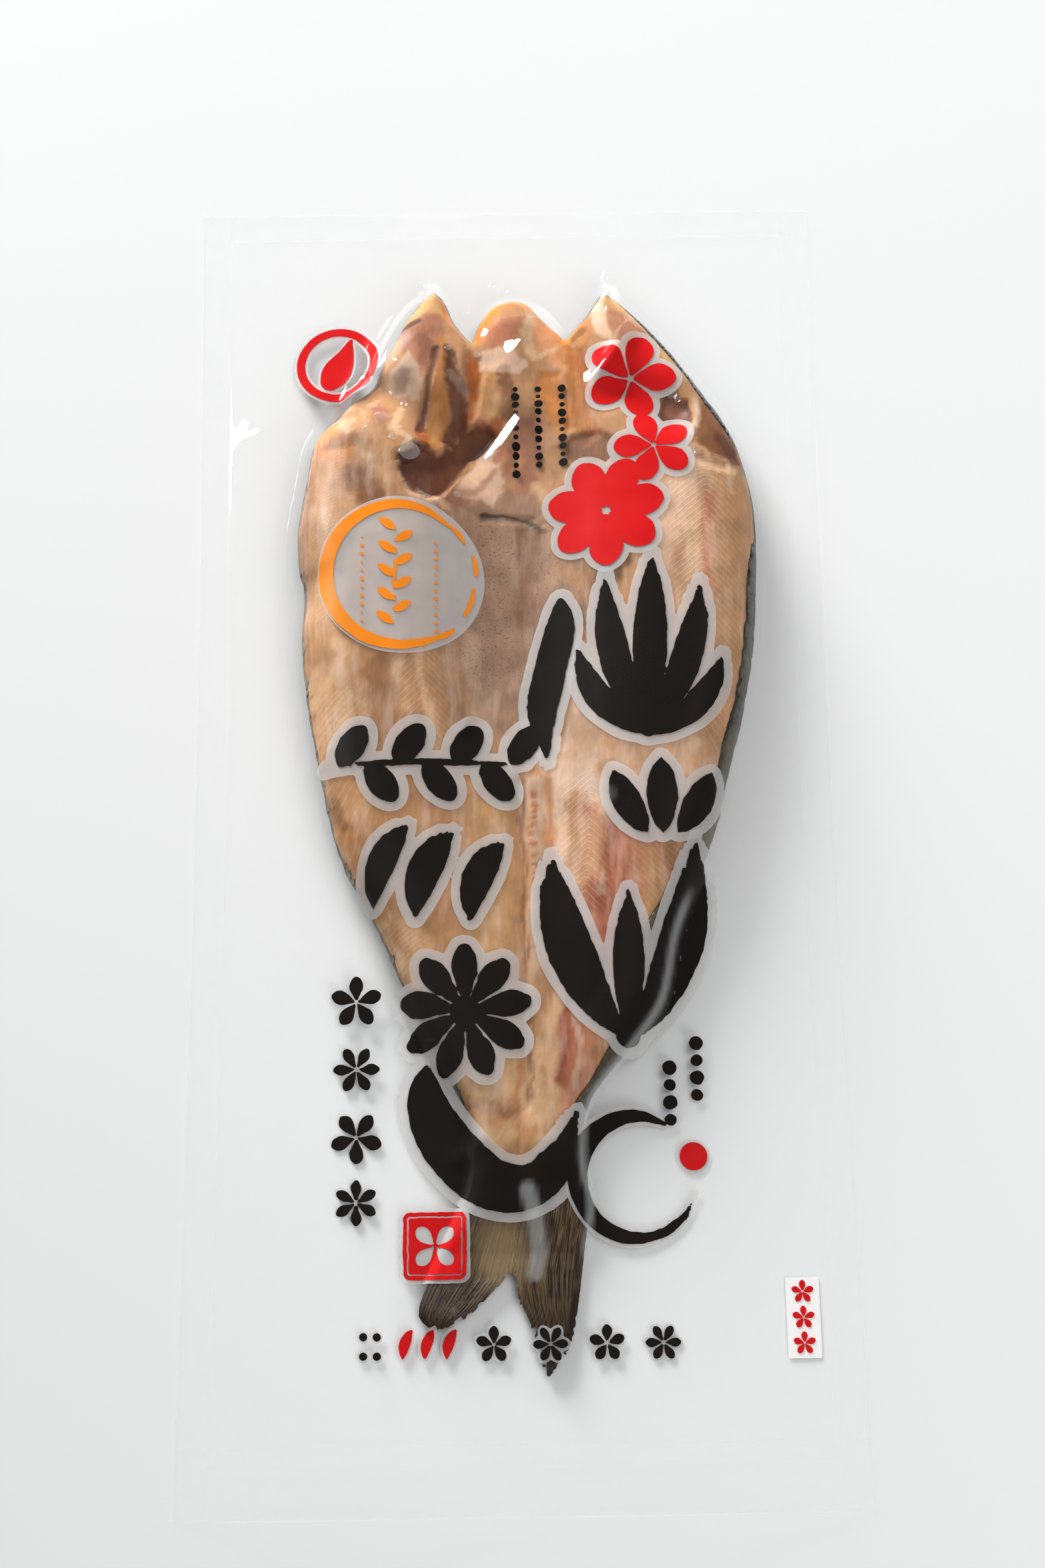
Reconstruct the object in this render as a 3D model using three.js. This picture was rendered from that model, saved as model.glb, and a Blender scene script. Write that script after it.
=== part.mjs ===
import * as THREE from 'three';

// A half-dried atka mackerel, opened flat along its back, in a clear vacuum pouch.
// Millimetres, +Z up. The pouch lies on a table with the flesh side up. X runs across it,
// +Y points to the fish's head, and the origin is the middle of its footprint.
// The solid is the filled pouch: thin flat film, welded along its edges, that swells up
// over the fish, with the fish's own relief showing through the tight film.

// ---- Driving dimensions ----
const POUCH_WIDTH = 220;
const POUCH_LENGTH = 452;
const POUCH_WAIST = 2; // how far each side draws in halfway along
const FILM = 0.6; // thickness where the two films lie pressed together
const SEAL_STEP = 0.35; // the welded bands are this much thinner than the loose films
const SIDE_SEAL = 10; // width of the welded band down each side and along the top
const FOOT_FLAP = 15; // loose film below the foot seal
const FOOT_SEAL = 6.5; // width of the machine seal across the foot
const STEP_WIDTH = 1; // run of the small step beside a seal
const FLAP_LIFT = 5; // mean height of the loose flap's free edge over the table
const FLAP_WAVE = 2.4; // height of the flap's waves
const FLAP_WAVE_LENGTH = 96; // from one crest of the flap to the next
const FLAP_WAVE_SHIFT = 14; // where the flap's wave crosses its mean height
const FLAP_CORNER = 30; // over this width the flap sinks to the table at each corner
const TENT = 3.5; // how far outside the flesh the upper film comes down
const SKIRT = 38; // how far the flange takes to sink from the fish to the table
const UNDERSIDE_TURN = 12; // width of the skin's rounded edge, inside the outline
const SEAM_X = 3; // belly seam, where the two fillets hang together
const CROWN_AT = 0.6; // crown of a fillet, as a share of the way from seam to edge
const RIM_ROUNDNESS = 2.4; // how steeply the fish's sides rise

// ---- Outline of the fish, as [x, y] points from head to tail ----
const LEFT_EDGE = [
  [-26, 193.5], [-32.4, 186.5], [-39.7, 173], [-45.8, 159.5], [-47.5, 155.5], [-57, 147],
  [-67.8, 134], [-70.6, 120], [-73.7, 100], [-72.8, 84], [-71.2, 78], [-72, 60], [-70.8, 45],
  [-66, 15], [-61, -8], [-56.7, -20.5], [-46, -40.5], [-36.8, -62], [-28, -80], [-18.5, -98],
  [-15, -112], [-15.6, -122], [-18.5, -131], [-29.8, -154], [-33.3, -165], [-29, -170],
];
const RIGHT_EDGE = [
  [34.4, 192.8], [44.5, 183.5], [57, 168.5], [66.7, 154], [77.5, 136.5], [82.2, 122],
  [84.9, 108], [85.3, 92], [84.4, 74], [82.6, 54], [79.3, 37], [74, 16], [66.2, -12],
  [58, -29.5], [52.6, -43], [47.3, -65.5], [38.6, -78.5], [22.9, -98.5], [20.4, -112],
  [20.8, -121], [22.7, -129], [20.6, -146], [18.7, -160], [15.8, -174.5], [8.5, -185.5],
];
const LEFT_CHEEK = [[-26, 193.5], [-22.4, 189], [-18.5, 179.5], [-12.6, 171.8]];
const JAW_LEFT = [[1.5, 189.2], [-4.8, 186.8], [-10.4, 179], [-12.6, 171.8]];
const JAW_RIGHT = [[1.5, 189.2], [7, 187.7], [12.9, 181], [20.5, 172.8]];
const RIGHT_CHEEK = [[34.4, 192.8], [29.4, 183.7], [20.5, 172.8]];
const FORK_LEFT = [[-3, -153.5], [-8.8, -158], [-14.8, -164], [-24.6, -169.2], [-29, -170]];
const FORK_RIGHT = [[-3, -153.5], [-1.5, -162], [2.4, -168.5], [6, -181], [8.5, -185.5]];
const OUTLINE_STEPS = 5; // straight pieces between two outline points

// ---- Stations along the fish, head to tail ----
// Height over the table of the left crown, the seam and the right crown; the width of the
// rounded rim; and the height at which the flange leaves the fish.
const STATIONS = [
  { y: 196, left: 7.5, seam: 7.5, right: 7.5, rim: 7, flange: 2.4 },
  { y: 176, left: 12, seam: 9.2, right: 12, rim: 9, flange: 3 },
  { y: 155, left: 15, seam: 8.8, right: 15.5, rim: 12, flange: 3.4 },
  { y: 130, left: 17.8, seam: 8.6, right: 18.6, rim: 15, flange: 3.6 },
  { y: 95, left: 19.6, seam: 9, right: 20.2, rim: 17, flange: 3.6 },
  { y: 50, left: 19.2, seam: 9.4, right: 19.8, rim: 17, flange: 3.6 },
  { y: 5, left: 17.5, seam: 10.8, right: 18, rim: 15, flange: 3.6 },
  { y: -40, left: 15, seam: 11.8, right: 15.8, rim: 13, flange: 3.2 },
  { y: -80, left: 12.4, seam: 11.4, right: 13.2, rim: 10, flange: 2.8 },
  { y: -110, left: 9.8, seam: 9.8, right: 10.2, rim: 8, flange: 2.2 },
  { y: -128, left: 6.2, seam: 6.6, right: 6.2, rim: 5, flange: 1.5 },
  { y: -146, left: 3.4, seam: 3.4, right: 3.4, rim: 3, flange: 1 },
  { y: -190, left: 2.6, seam: 2.6, right: 2.6, rim: 2.5, flange: 0.8 },
];

// ---- Relief on the flesh: soft ridges (height over 0) and hollows (height under 0) ----
const RELIEF = [
  { name: 'left gill hollow', from: [-39, 147], to: [-16, 129], width: 9, height: -5.5 },
  { name: 'right gill hollow', from: [42, 150], to: [57, 139], width: 8, height: -4.5 },
  { name: 'throat', from: [2, 176], to: [1, 146], width: 8, height: 2.4 },
  { name: 'belly cavity', from: [-12, 106], to: [-6, 34], width: 16, height: -2.2 },
  { name: 'left shoulder fold', from: [-60, 141], to: [-46, 152], width: 5, height: -3 },
  { name: 'upper backbone', from: [30, 112], to: [31, -5], width: 3.5, height: 1.3 },
  { name: 'middle backbone', from: [31, -5], to: [27, -42], width: 3.5, height: 1.3 },
  { name: 'lower backbone', from: [27, -42], to: [13, -98], width: 3.5, height: 1.2 },
  { name: 'fin base', from: [6.5, 8], to: [6.5, -56], width: 2.6, height: 1.1 },
  { name: 'seam groove', from: [2, 8], to: [2, -100], width: 2.2, height: -1.2 },
  { name: 'left tail lobe', from: [-10, -130], to: [-26, -164], width: 4, height: 0.7 },
  { name: 'right tail lobe', from: [12, -130], to: [11, -178], width: 4, height: 0.7 },
];

// ---- Mesh fineness: rows from foot to top ----
const half = POUCH_WIDTH / 2;
const foot = -POUCH_LENGTH / 2;
const head = POUCH_LENGTH / 2;
const sealFoot = foot + FOOT_FLAP;
const sealTop = sealFoot + FOOT_SEAL;
const ROW_BANDS = [
  { to: sealFoot - STEP_WIDTH, steps: 4 },
  { to: sealFoot, steps: 1 },
  { to: sealTop, steps: 1 },
  { to: sealTop + STEP_WIDTH, steps: 1 },
  { to: -188, steps: 2 },
  { to: -150, steps: 11 },
  { to: -124, steps: 6 },
  { to: -80, steps: 6 },
  { to: 140, steps: 23 },
  { to: 196, steps: 17 },
  { to: head - SIDE_SEAL - STEP_WIDTH, steps: 3 },
  { to: head - SIDE_SEAL, steps: 1 },
  { to: head, steps: 1 },
];

const clamp01 = (t) => Math.min(1, Math.max(0, t));
const smooth = (t) => clamp01(t) ** 2 * (3 - 2 * clamp01(t));
const mix = (a, b, t) => a + (b - a) * t;

/** A smooth curve through [x, y] points, cut into short straight pieces. */
function curveThrough(points) {
  const curve = new THREE.CatmullRomCurve3(
    points.map(([x, y]) => new THREE.Vector3(x, y, 0)), false, 'centripetal');
  return curve.getPoints((points.length - 1) * OUTLINE_STEPS).map((p) => [p.x, p.y]);
}

/** The x at height y of [x, y] points that run downwards, on straight stretches. */
function xAt(points, y) {
  const below = points.findIndex(([, level]) => level <= y);
  if (below === 0) return points[0][0];
  if (below < 0) return points.at(-1)[0];
  const [x0, y0] = points[below - 1];
  const [x1, y1] = points[below];
  return mix(x0, x1, (y0 - y) / (y0 - y1));
}

/** One named quantity of the stations at y, in proportion between two stations. */
function stationValue(key, y) {
  return xAt(STATIONS.map((station) => [station[key], station.y]), y);
}

const leftCurve = curveThrough(LEFT_EDGE);
const rightCurve = curveThrough(RIGHT_EDGE);

// The closed outline, run round from the left head tip down the left side and back.
const outline = [
  ...leftCurve,
  ...curveThrough(FORK_LEFT).reverse(),
  ...curveThrough(FORK_RIGHT),
  ...[...rightCurve].reverse(),
  ...curveThrough(RIGHT_CHEEK),
  ...curveThrough(JAW_RIGHT).reverse(),
  ...curveThrough(JAW_LEFT),
  ...curveThrough(LEFT_CHEEK).reverse(),
];

/** Distance from a point to a straight piece between two points. */
function distanceToPiece(x, y, [ax, ay], [bx, by]) {
  const length2 = (bx - ax) ** 2 + (by - ay) ** 2;
  const t = length2 > 0 ? clamp01(((x - ax) * (bx - ax) + (y - ay) * (by - ay)) / length2) : 0;
  return Math.hypot(x - mix(ax, bx, t), y - mix(ay, by, t));
}

/** Distance to the fish's outline, positive inside it and negative outside. */
function depthInside(x, y) {
  let nearest = Infinity;
  let inside = false;
  outline.forEach((a, i) => {
    const b = outline[(i + 1) % outline.length];
    nearest = Math.min(nearest, distanceToPiece(x, y, a, b));
    if (a[1] > y !== b[1] > y && x < mix(a[0], b[0], (y - a[1]) / (b[1] - a[1]))) inside = !inside;
  });
  return inside ? nearest : -nearest;
}

/** Height of the flesh over the table, before its rim is rounded off. */
function crownHeight(x, y) {
  const side = x < SEAM_X ? 'left' : 'right';
  const edge = xAt(x < SEAM_X ? leftCurve : rightCurve, y);
  const reach = Math.abs(x - SEAM_X) / Math.max(10, Math.abs(edge - SEAM_X));
  let height = mix(stationValue('seam', y), stationValue(side, y), smooth(reach / CROWN_AT));
  for (const { from, to, width, height: rise } of RELIEF) {
    height += rise * Math.exp(-((distanceToPiece(x, y, from, to) / width) ** 2));
  }
  return height;
}

/** Height of the flange: it sinks from the fish to the table, and the foot flap lifts in waves. */
function flangeHeight(x, y, depth) {
  const skirt = stationValue('flange', y) * smooth(1 + Math.min(0, depth + TENT) / SKIRT);
  const along = clamp01((sealTop - y) / (FOOT_FLAP + FOOT_SEAL));
  const turn = (2 * Math.PI * (x - FLAP_WAVE_SHIFT)) / FLAP_WAVE_LENGTH;
  const wave = FLAP_LIFT + FLAP_WAVE * Math.sin(turn);
  return skirt + along ** 1.4 * wave * smooth((half - Math.abs(x)) / FLAP_CORNER);
}

/** Thickness of the flat film: full inside the welded bands and on the loose flap. */
function filmThickness(x, y) {
  const fromSide = sideAt(y) - Math.abs(x) - SIDE_SEAL;
  const fromTop = head - SIDE_SEAL - y;
  const fromFoot = y - sealTop;
  const insideBands = clamp01(Math.min(fromSide, fromTop, fromFoot) / STEP_WIDTH);
  const onFlap = clamp01((sealFoot - y) / STEP_WIDTH) * clamp01(fromSide / STEP_WIDTH);
  return FILM - SEAL_STEP * (1 - Math.max(insideBands, onFlap));
}

/** Upper face: the flange outside the fish, rising over a rounded rim to the crown. */
function topHeight(x, y, depth) {
  const rim = stationValue('rim', y);
  const tent = TENT * clamp01(rim / 10);
  const climb = 1 - (1 - clamp01((depth + tent) / (rim + tent))) ** RIM_ROUNDNESS;
  return mix(flangeHeight(x, y, depth), crownHeight(x, y), climb) + filmThickness(x, y);
}

/** Lower face: flat on the table under the fish, turned up to the flange at its edge. */
function bottomHeight(x, y, depth) {
  return flangeHeight(x, y, depth) * smooth(1 - depth / UNDERSIDE_TURN);
}

/** Half the pouch's width at y: the sides draw in halfway along. */
function sideAt(y) {
  return half - POUCH_WAIST * Math.sin((Math.PI * (y - foot)) / POUCH_LENGTH);
}

// ---- Lines down the fish that the mesh's columns follow, as [x, y] points ----
const fishLines = [
  [[-44, head], [-32, 199], ...LEFT_EDGE.slice(0, -1), [-33.5, -172], [-44, foot]],
  [[-28, head], [-22, 197], ...LEFT_CHEEK.slice(1), [-24, 120], [-20, 0], [-12, -70],
    [-9, -120], [-11, -146], [-23, -164], [-28.5, -171], [-30, foot]],
  [[-12, head], [-9, 197], [-5.5, 189], ...JAW_LEFT.slice(1, 3), [-11, 171.8], [-8, 120],
    [-5, 0], [-3, -100], [-4, -150], ...FORK_LEFT.slice(1, 3), [-21, -171], [-14, foot]],
  [[16, head], [12, 197], [9, 189], ...JAW_RIGHT.slice(1, 3), [19, 172.8], [14, 120],
    [11, 0], [7, -100], [-1.5, -150], ...FORK_RIGHT.slice(1, 3), [4, -180], [10, foot]],
  [[32, head], [28, 197], ...RIGHT_CHEEK.slice(1), [32, 120], [30, 0], [20, -70],
    [13, -120], [10, -150], [9, -187], [24, foot]],
  [[52, head], [39, 198], ...RIGHT_EDGE.slice(0, -1), [13, -187], [40, foot]],
];

/** One row's column marks, and how many columns lie between each mark and the next. */
function columnBands(y) {
  const [leftSide, ...inner] = fishLines.map((line) => xAt(line, y));
  const rightSide = inner.pop();
  const seal = sideAt(y) - SIDE_SEAL;
  return [
    { at: -sideAt(y) },
    { at: -seal, steps: 1 },
    { at: -seal + STEP_WIDTH, steps: 1 },
    { at: leftSide - TENT, steps: 3 },
    { at: leftSide, steps: 1 },
    { at: inner[0], steps: 6, crowd: 'start' },
    { at: inner[1], steps: 2 },
    { at: inner[2], steps: 5 },
    { at: inner[3], steps: 2 },
    { at: rightSide, steps: 6, crowd: 'end' },
    { at: rightSide + TENT, steps: 1 },
    { at: seal - STEP_WIDTH, steps: 3 },
    { at: seal, steps: 1 },
    { at: sideAt(y), steps: 1 },
  ];
}

/** The mesh's column positions at one row, crowded towards the fish's edges. */
function columnsAt(y) {
  const columns = [];
  let last = 0;
  for (const { at, steps, crowd } of columnBands(y)) {
    for (let i = 1; i <= (steps ?? 0); i += 1) {
      const even = i / steps;
      const share = { start: even ** 1.6, end: 1 - (1 - even) ** 1.6 }[crowd] ?? even;
      columns.push(mix(last, at, share));
    }
    if (!steps) columns.push(at);
    last = at;
  }
  return columns;
}

/** The mesh's row positions, foot to top. */
function rowPositions() {
  const rows = [foot];
  for (const { to, steps } of ROW_BANDS) {
    const from = rows.at(-1);
    for (let i = 1; i <= steps; i += 1) rows.push(mix(from, to, i / steps));
  }
  return rows;
}

/** The filled pouch: two faces on one grid, split alike and joined round the edge. */
function pouchGeometry() {
  const rows = rowPositions();
  const grid = rows.map((y) => columnsAt(y));
  const across = grid[0].length;
  const upper = [];
  const lower = [];
  rows.forEach((y, r) => grid[r].forEach((x) => {
    const depth = depthInside(x, y);
    upper.push(x, y, topHeight(x, y, depth));
    lower.push(x, y, bottomHeight(x, y, depth));
  }));
  const under = rows.length * across;
  const indices = [];
  for (let r = 0; r + 1 < rows.length; r += 1) {
    for (let c = 0; c + 1 < across; c += 1) {
      const a = r * across + c;
      const [b, d, e] = [a + 1, a + across, a + across + 1];
      indices.push(a, b, e, a, e, d);
      indices.push(under + a, under + e, under + b, under + a, under + d, under + e);
    }
  }
  const wall = (a, b) => indices.push(under + a, under + b, b, under + a, b, a);
  const lastRow = (rows.length - 1) * across;
  for (let c = 0; c + 1 < across; c += 1) {
    wall(c, c + 1);
    wall(lastRow + c + 1, lastRow + c);
  }
  for (let r = 0; r < lastRow; r += across) {
    wall(r + across, r);
    wall(r + across - 1, r + 2 * across - 1);
  }
  const geometry = new THREE.BufferGeometry();
  geometry.setAttribute('position', new THREE.Float32BufferAttribute([...upper, ...lower], 3));
  geometry.setIndex(indices);
  geometry.computeVertexNormals();
  return geometry;
}

const fleshUnderFilm = new THREE.MeshStandardMaterial({
  color: 0xd9b79a, roughness: 0.22, metalness: 0,
});
const pouch = new THREE.Mesh(pouchGeometry(), fleshUnderFilm);
pouch.name = 'pouch';

const part = new THREE.Group();
part.add(pouch);
export default part;
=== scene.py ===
"""A half-dried atka mackerel in a clear printed vacuum pouch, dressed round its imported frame.

The pouch is one solid in the frame. It is replaced here by what it stands for: two clear films
welded along their edges, the opened fish between them, and the print on the upper film.
All shapes are worked out in millimetres, X across the pouch, +Y to the fish's head, +Z up, and
are turned into metres when a mesh is made.
"""

import logging
import math
from collections.abc import Callable, Sequence
from dataclasses import dataclass, field
from enum import Enum

import bpy
import numpy as np
from mathutils import Matrix, Vector

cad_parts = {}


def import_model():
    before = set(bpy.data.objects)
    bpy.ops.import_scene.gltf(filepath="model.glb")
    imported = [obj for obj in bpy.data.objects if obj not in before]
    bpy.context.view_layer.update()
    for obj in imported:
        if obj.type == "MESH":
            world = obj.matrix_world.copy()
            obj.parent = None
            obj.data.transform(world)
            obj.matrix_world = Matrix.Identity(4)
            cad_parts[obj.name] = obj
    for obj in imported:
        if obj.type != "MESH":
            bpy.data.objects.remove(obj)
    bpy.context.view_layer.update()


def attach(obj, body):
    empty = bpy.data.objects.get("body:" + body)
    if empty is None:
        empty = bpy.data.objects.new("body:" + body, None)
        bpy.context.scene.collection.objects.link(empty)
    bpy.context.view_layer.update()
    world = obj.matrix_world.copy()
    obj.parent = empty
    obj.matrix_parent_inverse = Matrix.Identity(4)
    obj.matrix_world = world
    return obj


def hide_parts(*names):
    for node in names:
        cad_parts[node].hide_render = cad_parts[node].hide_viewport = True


LOG = logging.getLogger("fish_pouch")

MM = 0.001
Array = np.ndarray
Point = tuple[float, float]
Colour = tuple[float, float, float]
Box = tuple[float, float, float, float]
Triple = tuple[float, float, float]
Height = Callable[[Array, Array], Array]
Socket = bpy.types.NodeSocket
Material = bpy.types.Material
Piece = bpy.types.Object

BODY = "root"
NODE = "pouch"


# --- Small maths ---

def smooth(t: Array) -> Array:
    """Ease from 0 to 1: t squared times three minus two t, held at both ends."""
    t = np.clip(t, 0.0, 1.0)
    return t * t * (3.0 - 2.0 * t)


def mix(a: Array, b: Array, t: Array) -> Array:
    """The share t of the way from a to b."""
    return a + (b - a) * t


def srgb(red: int, green: int, blue: int) -> Colour:
    """A colour as seen on screen, 0 to 255, in the linear values that shaders take.

    Args:
        red, green, blue: Its parts, from 0 to 255.

    Returns:
        The linear colour.
    """
    seen = np.array((red, green, blue)) / 255.0
    linear = np.where(seen <= 0.04045, seen / 12.92, ((seen + 0.055) / 1.055) ** 2.4)
    return tuple(float(v) for v in linear)


def lattice_noise(x: Array, y: Array, size: float, seed: int) -> Array:
    """Smooth random height on a square lattice.

    Each lattice corner has a random number from 0 to 1, and a point mixes its four corners by
    the eased distance to them.

    Args:
        x, y: Places, in mm.
        size: Side of a lattice cell, in mm.
        seed: Picks the random numbers.

    Returns:
        Values from 0 to 1.
    """
    table = np.random.default_rng(seed).random((256, 256))
    u, v = x / size + 97.0, y / size + 131.0
    column, row = np.floor(u).astype(int), np.floor(v).astype(int)
    across, along = smooth(u - column), smooth(v - row)
    low = mix(table[row % 256, column % 256], table[row % 256, (column + 1) % 256], across)
    high = mix(
        table[(row + 1) % 256, column % 256], table[(row + 1) % 256, (column + 1) % 256], across
    )
    return mix(low, high, along)


def cloud_noise(x: Array, y: Array, size: float, seed: int, octaves: int = 3) -> Array:
    """Lattice noise summed over octaves, each half as wide and half as strong, from 0 to 1.

    Args:
        x, y: Places, in mm.
        size: Side of the widest lattice cell, in mm.
        seed: Picks the random numbers.
        octaves: How many sizes are summed.

    Returns:
        Values from 0 to 1.
    """
    total = np.zeros(np.broadcast(x, y).shape)
    weight = 0.0
    for octave in range(octaves):
        strength = 0.5**octave
        total += strength * lattice_noise(x, y, size * strength, seed + octave)
        weight += strength
    return total / weight


def uneven(x: Array, y: Array, size: float, seed: int, span: float) -> Array:
    """Cloud noise about zero, from minus half its span to plus half."""
    return (cloud_noise(x, y, size, seed) - 0.5) * span


def round_off(depth: Array, reach: float, drop: float) -> Array:
    """How far a quarter-round edge sinks: drop times 1 - sqrt(1 - the share left to go^2)."""
    left = 1 - np.clip(depth / reach, 0, 1)
    return drop * (1 - np.sqrt(1 - left**2))


def smooth_curve(points: Sequence[Point], steps: int) -> Array:
    """A centripetal Catmull-Rom curve through points.

    Between two points the curve is the cubic whose end slopes come from the neighbouring
    points, weighted by the square root of the distances between them.

    Args:
        points: The points that the curve passes through.
        steps: Straight pieces between two points.

    Returns:
        One row for each point of the cut-up curve.
    """
    p = np.asarray(points, float)
    p = np.vstack([2 * p[0] - p[1], p, 2 * p[-1] - p[-2]])
    gap = np.sqrt(np.maximum(np.linalg.norm(np.diff(p[:, :2], axis=0), axis=1), 1e-6))[:, None]
    before, here, after = gap[:-2], gap[1:-1], gap[2:]
    p0, p1, p2, p3 = p[:-3], p[1:-2], p[2:-1], p[3:]
    leave = (p1 - p0) / before - (p2 - p0) / (before + here) + (p2 - p1) / here
    arrive = (p2 - p1) / here - (p3 - p1) / (here + after) + (p3 - p2) / after
    leave, arrive = leave * here, arrive * here
    t = np.linspace(0, 1, steps + 1)[:-1][None, :, None]
    a, b = p1[:, None], p2[:, None]
    s1, s2 = leave[:, None], arrive[:, None]
    curve = a + s1 * t + (3 * (b - a) - 2 * s1 - s2) * t**2 + (2 * (a - b) + s1 + s2) * t**3
    return np.vstack([curve.reshape(-1, p.shape[1]), p[-2:-1]])


def distance_to_piece(x: Array, y: Array, a: Point, b: Point) -> tuple[Array, Array]:
    """Distance to a straight piece.

    Args:
        x, y: Places.
        a: First end of the piece.
        b: Last end of the piece.

    Returns:
        The distance, and the share of the way along the piece of its nearest point.
    """
    run = (b[0] - a[0], b[1] - a[1])
    length2 = max(run[0] ** 2 + run[1] ** 2, 1e-9)
    share = np.clip(((x - a[0]) * run[0] + (y - a[1]) * run[1]) / length2, 0, 1)
    return np.hypot(x - a[0] - run[0] * share, y - a[1] - run[1] * share), share


def distance_to_path(x: Array, y: Array, path: Sequence[Point]) -> Array:
    """Distance to the nearest of a path's straight pieces, or to its only point.

    Args:
        x, y: Places.
        path: The points along the path.

    Returns:
        The distance at each place.
    """
    points = np.asarray(path, float)
    nearest = np.full(np.broadcast(x, y).shape, np.inf)
    for a, b in zip(points, points[1:] if len(points) > 1 else points):
        nearest = np.minimum(nearest, distance_to_piece(x, y, a, b)[0])
    return nearest


# --- The form that film, fish and print share ---
LEFT_EDGE: list[Point] = [
    (-26, 193.5), (-32.4, 186.5), (-39.7, 173), (-45.8, 159.5), (-47.5, 155.5), (-57, 147),
    (-67.8, 134), (-70.6, 120), (-73.7, 100), (-72.8, 84), (-71.2, 78), (-72, 60), (-70.8, 45),
    (-66, 15), (-61, -8), (-56.7, -20.5), (-46, -40.5), (-36.8, -62), (-28, -80), (-18.5, -98),
    (-15, -112), (-15.6, -122), (-18.5, -131), (-29.8, -154), (-33.3, -165), (-29, -170),
]
RIGHT_EDGE: list[Point] = [
    (34.4, 192.8), (44.5, 183.5), (57, 168.5), (66.7, 154), (77.5, 136.5), (82.2, 122),
    (84.9, 108), (85.3, 92), (84.4, 74), (82.6, 54), (79.3, 37), (74, 16), (66.2, -12),
    (58, -29.5), (52.6, -43), (47.3, -65.5), (38.6, -78.5), (22.9, -98.5), (20.4, -112),
    (20.8, -121), (22.7, -129), (20.6, -146), (18.7, -160), (15.8, -174.5), (8.5, -185.5),
]
LEFT_CHEEK: list[Point] = [(-26, 193.5), (-22.4, 189), (-18.5, 179.5), (-12.6, 171.8)]
JAW_LEFT: list[Point] = [(1.5, 189.2), (-4.8, 186.8), (-10.4, 179), (-12.6, 171.8)]
JAW_RIGHT: list[Point] = [(1.5, 189.2), (7, 187.7), (12.9, 181), (20.5, 172.8)]
RIGHT_CHEEK: list[Point] = [(34.4, 192.8), (29.4, 183.7), (20.5, 172.8)]
FORK_LEFT: list[Point] = [
    (-3, -153.5), (-8.8, -158), (-14.8, -164), (-24.6, -169.2), (-29, -170),
]
FORK_RIGHT: list[Point] = [
    (-3, -153.5), (-1.5, -162), (2.4, -168.5), (6, -181), (8.5, -185.5),
]
OUTLINE_STEPS = 5


def edge_x(edge: Sequence[Point], y: Array, steps: int = OUTLINE_STEPS) -> Array:
    """X of an edge's smooth curve at y."""
    curve = smooth_curve(edge, steps)[::-1]
    return np.interp(y, curve[:, 1], curve[:, 0])


class Station(Enum):
    """The quantities that are given at stations along the fish, as columns of STATIONS."""

    LEFT = 1
    SEAM = 2
    RIGHT = 3
    RIM = 4
    FLANGE = 5


# One row for a station: y, then the heights of left crown, seam and right crown, the width of
# the rounded rim, and the height at which the flange leaves the fish.
STATIONS = np.array([
    (196, 7.5, 7.5, 7.5, 7, 2.4),
    (176, 12, 9.2, 12, 9, 3),
    (155, 15, 8.8, 15.5, 12, 3.4),
    (130, 17.8, 8.6, 18.6, 15, 3.6),
    (95, 19.6, 9, 20.2, 17, 3.6),
    (50, 19.2, 9.4, 19.8, 17, 3.6),
    (5, 17.5, 10.8, 18, 15, 3.6),
    (-40, 15, 11.8, 15.8, 13, 3.2),
    (-80, 12.4, 11.4, 13.2, 10, 2.8),
    (-110, 9.8, 9.8, 10.2, 8, 2.2),
    (-128, 6.2, 6.6, 6.2, 5, 1.5),
    (-146, 3.4, 3.4, 3.4, 3, 1),
    (-190, 2.6, 2.6, 2.6, 2.5, 0.8),
])


@dataclass(frozen=True)
class Swell:
    """A soft ridge or hollow along a straight piece: height times exp(-(distance / width)^2)."""

    start: Point
    end: Point
    width: float
    height: float

    def at(self, x: Array, y: Array) -> Array:
        """Height that it adds at each point."""
        distance, _ = distance_to_piece(x, y, self.start, self.end)
        return self.height * np.exp(-((distance / self.width) ** 2))


RELIEF: list[Swell] = [
    Swell((-39, 147), (-16, 129), 9, -5.5),  # left gill hollow
    Swell((42, 150), (57, 139), 8, -4.5),  # right gill hollow
    Swell((2, 176), (1, 146), 8, 2.4),  # throat
    Swell((-12, 106), (-6, 34), 16, -2.2),  # belly cavity
    Swell((-60, 141), (-46, 152), 5, -3),  # left shoulder fold
    Swell((30, 112), (31, -5), 3.5, 0.15),  # upper backbone
    Swell((31, -5), (27, -42), 3.5, 0.15),  # middle backbone
    Swell((27, -42), (13, -98), 3.5, 0.15),  # lower backbone
    Swell((6.5, 8), (6.5, -56), 2.6, 0.6),  # fin base
    Swell((2, 8), (2, -100), 2.2, -0.9),  # seam groove
    Swell((-10, -130), (-26, -164), 4, 0.7),  # left tail lobe
    Swell((12, -130), (11, -178), 4, 0.7),  # right tail lobe
]


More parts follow.
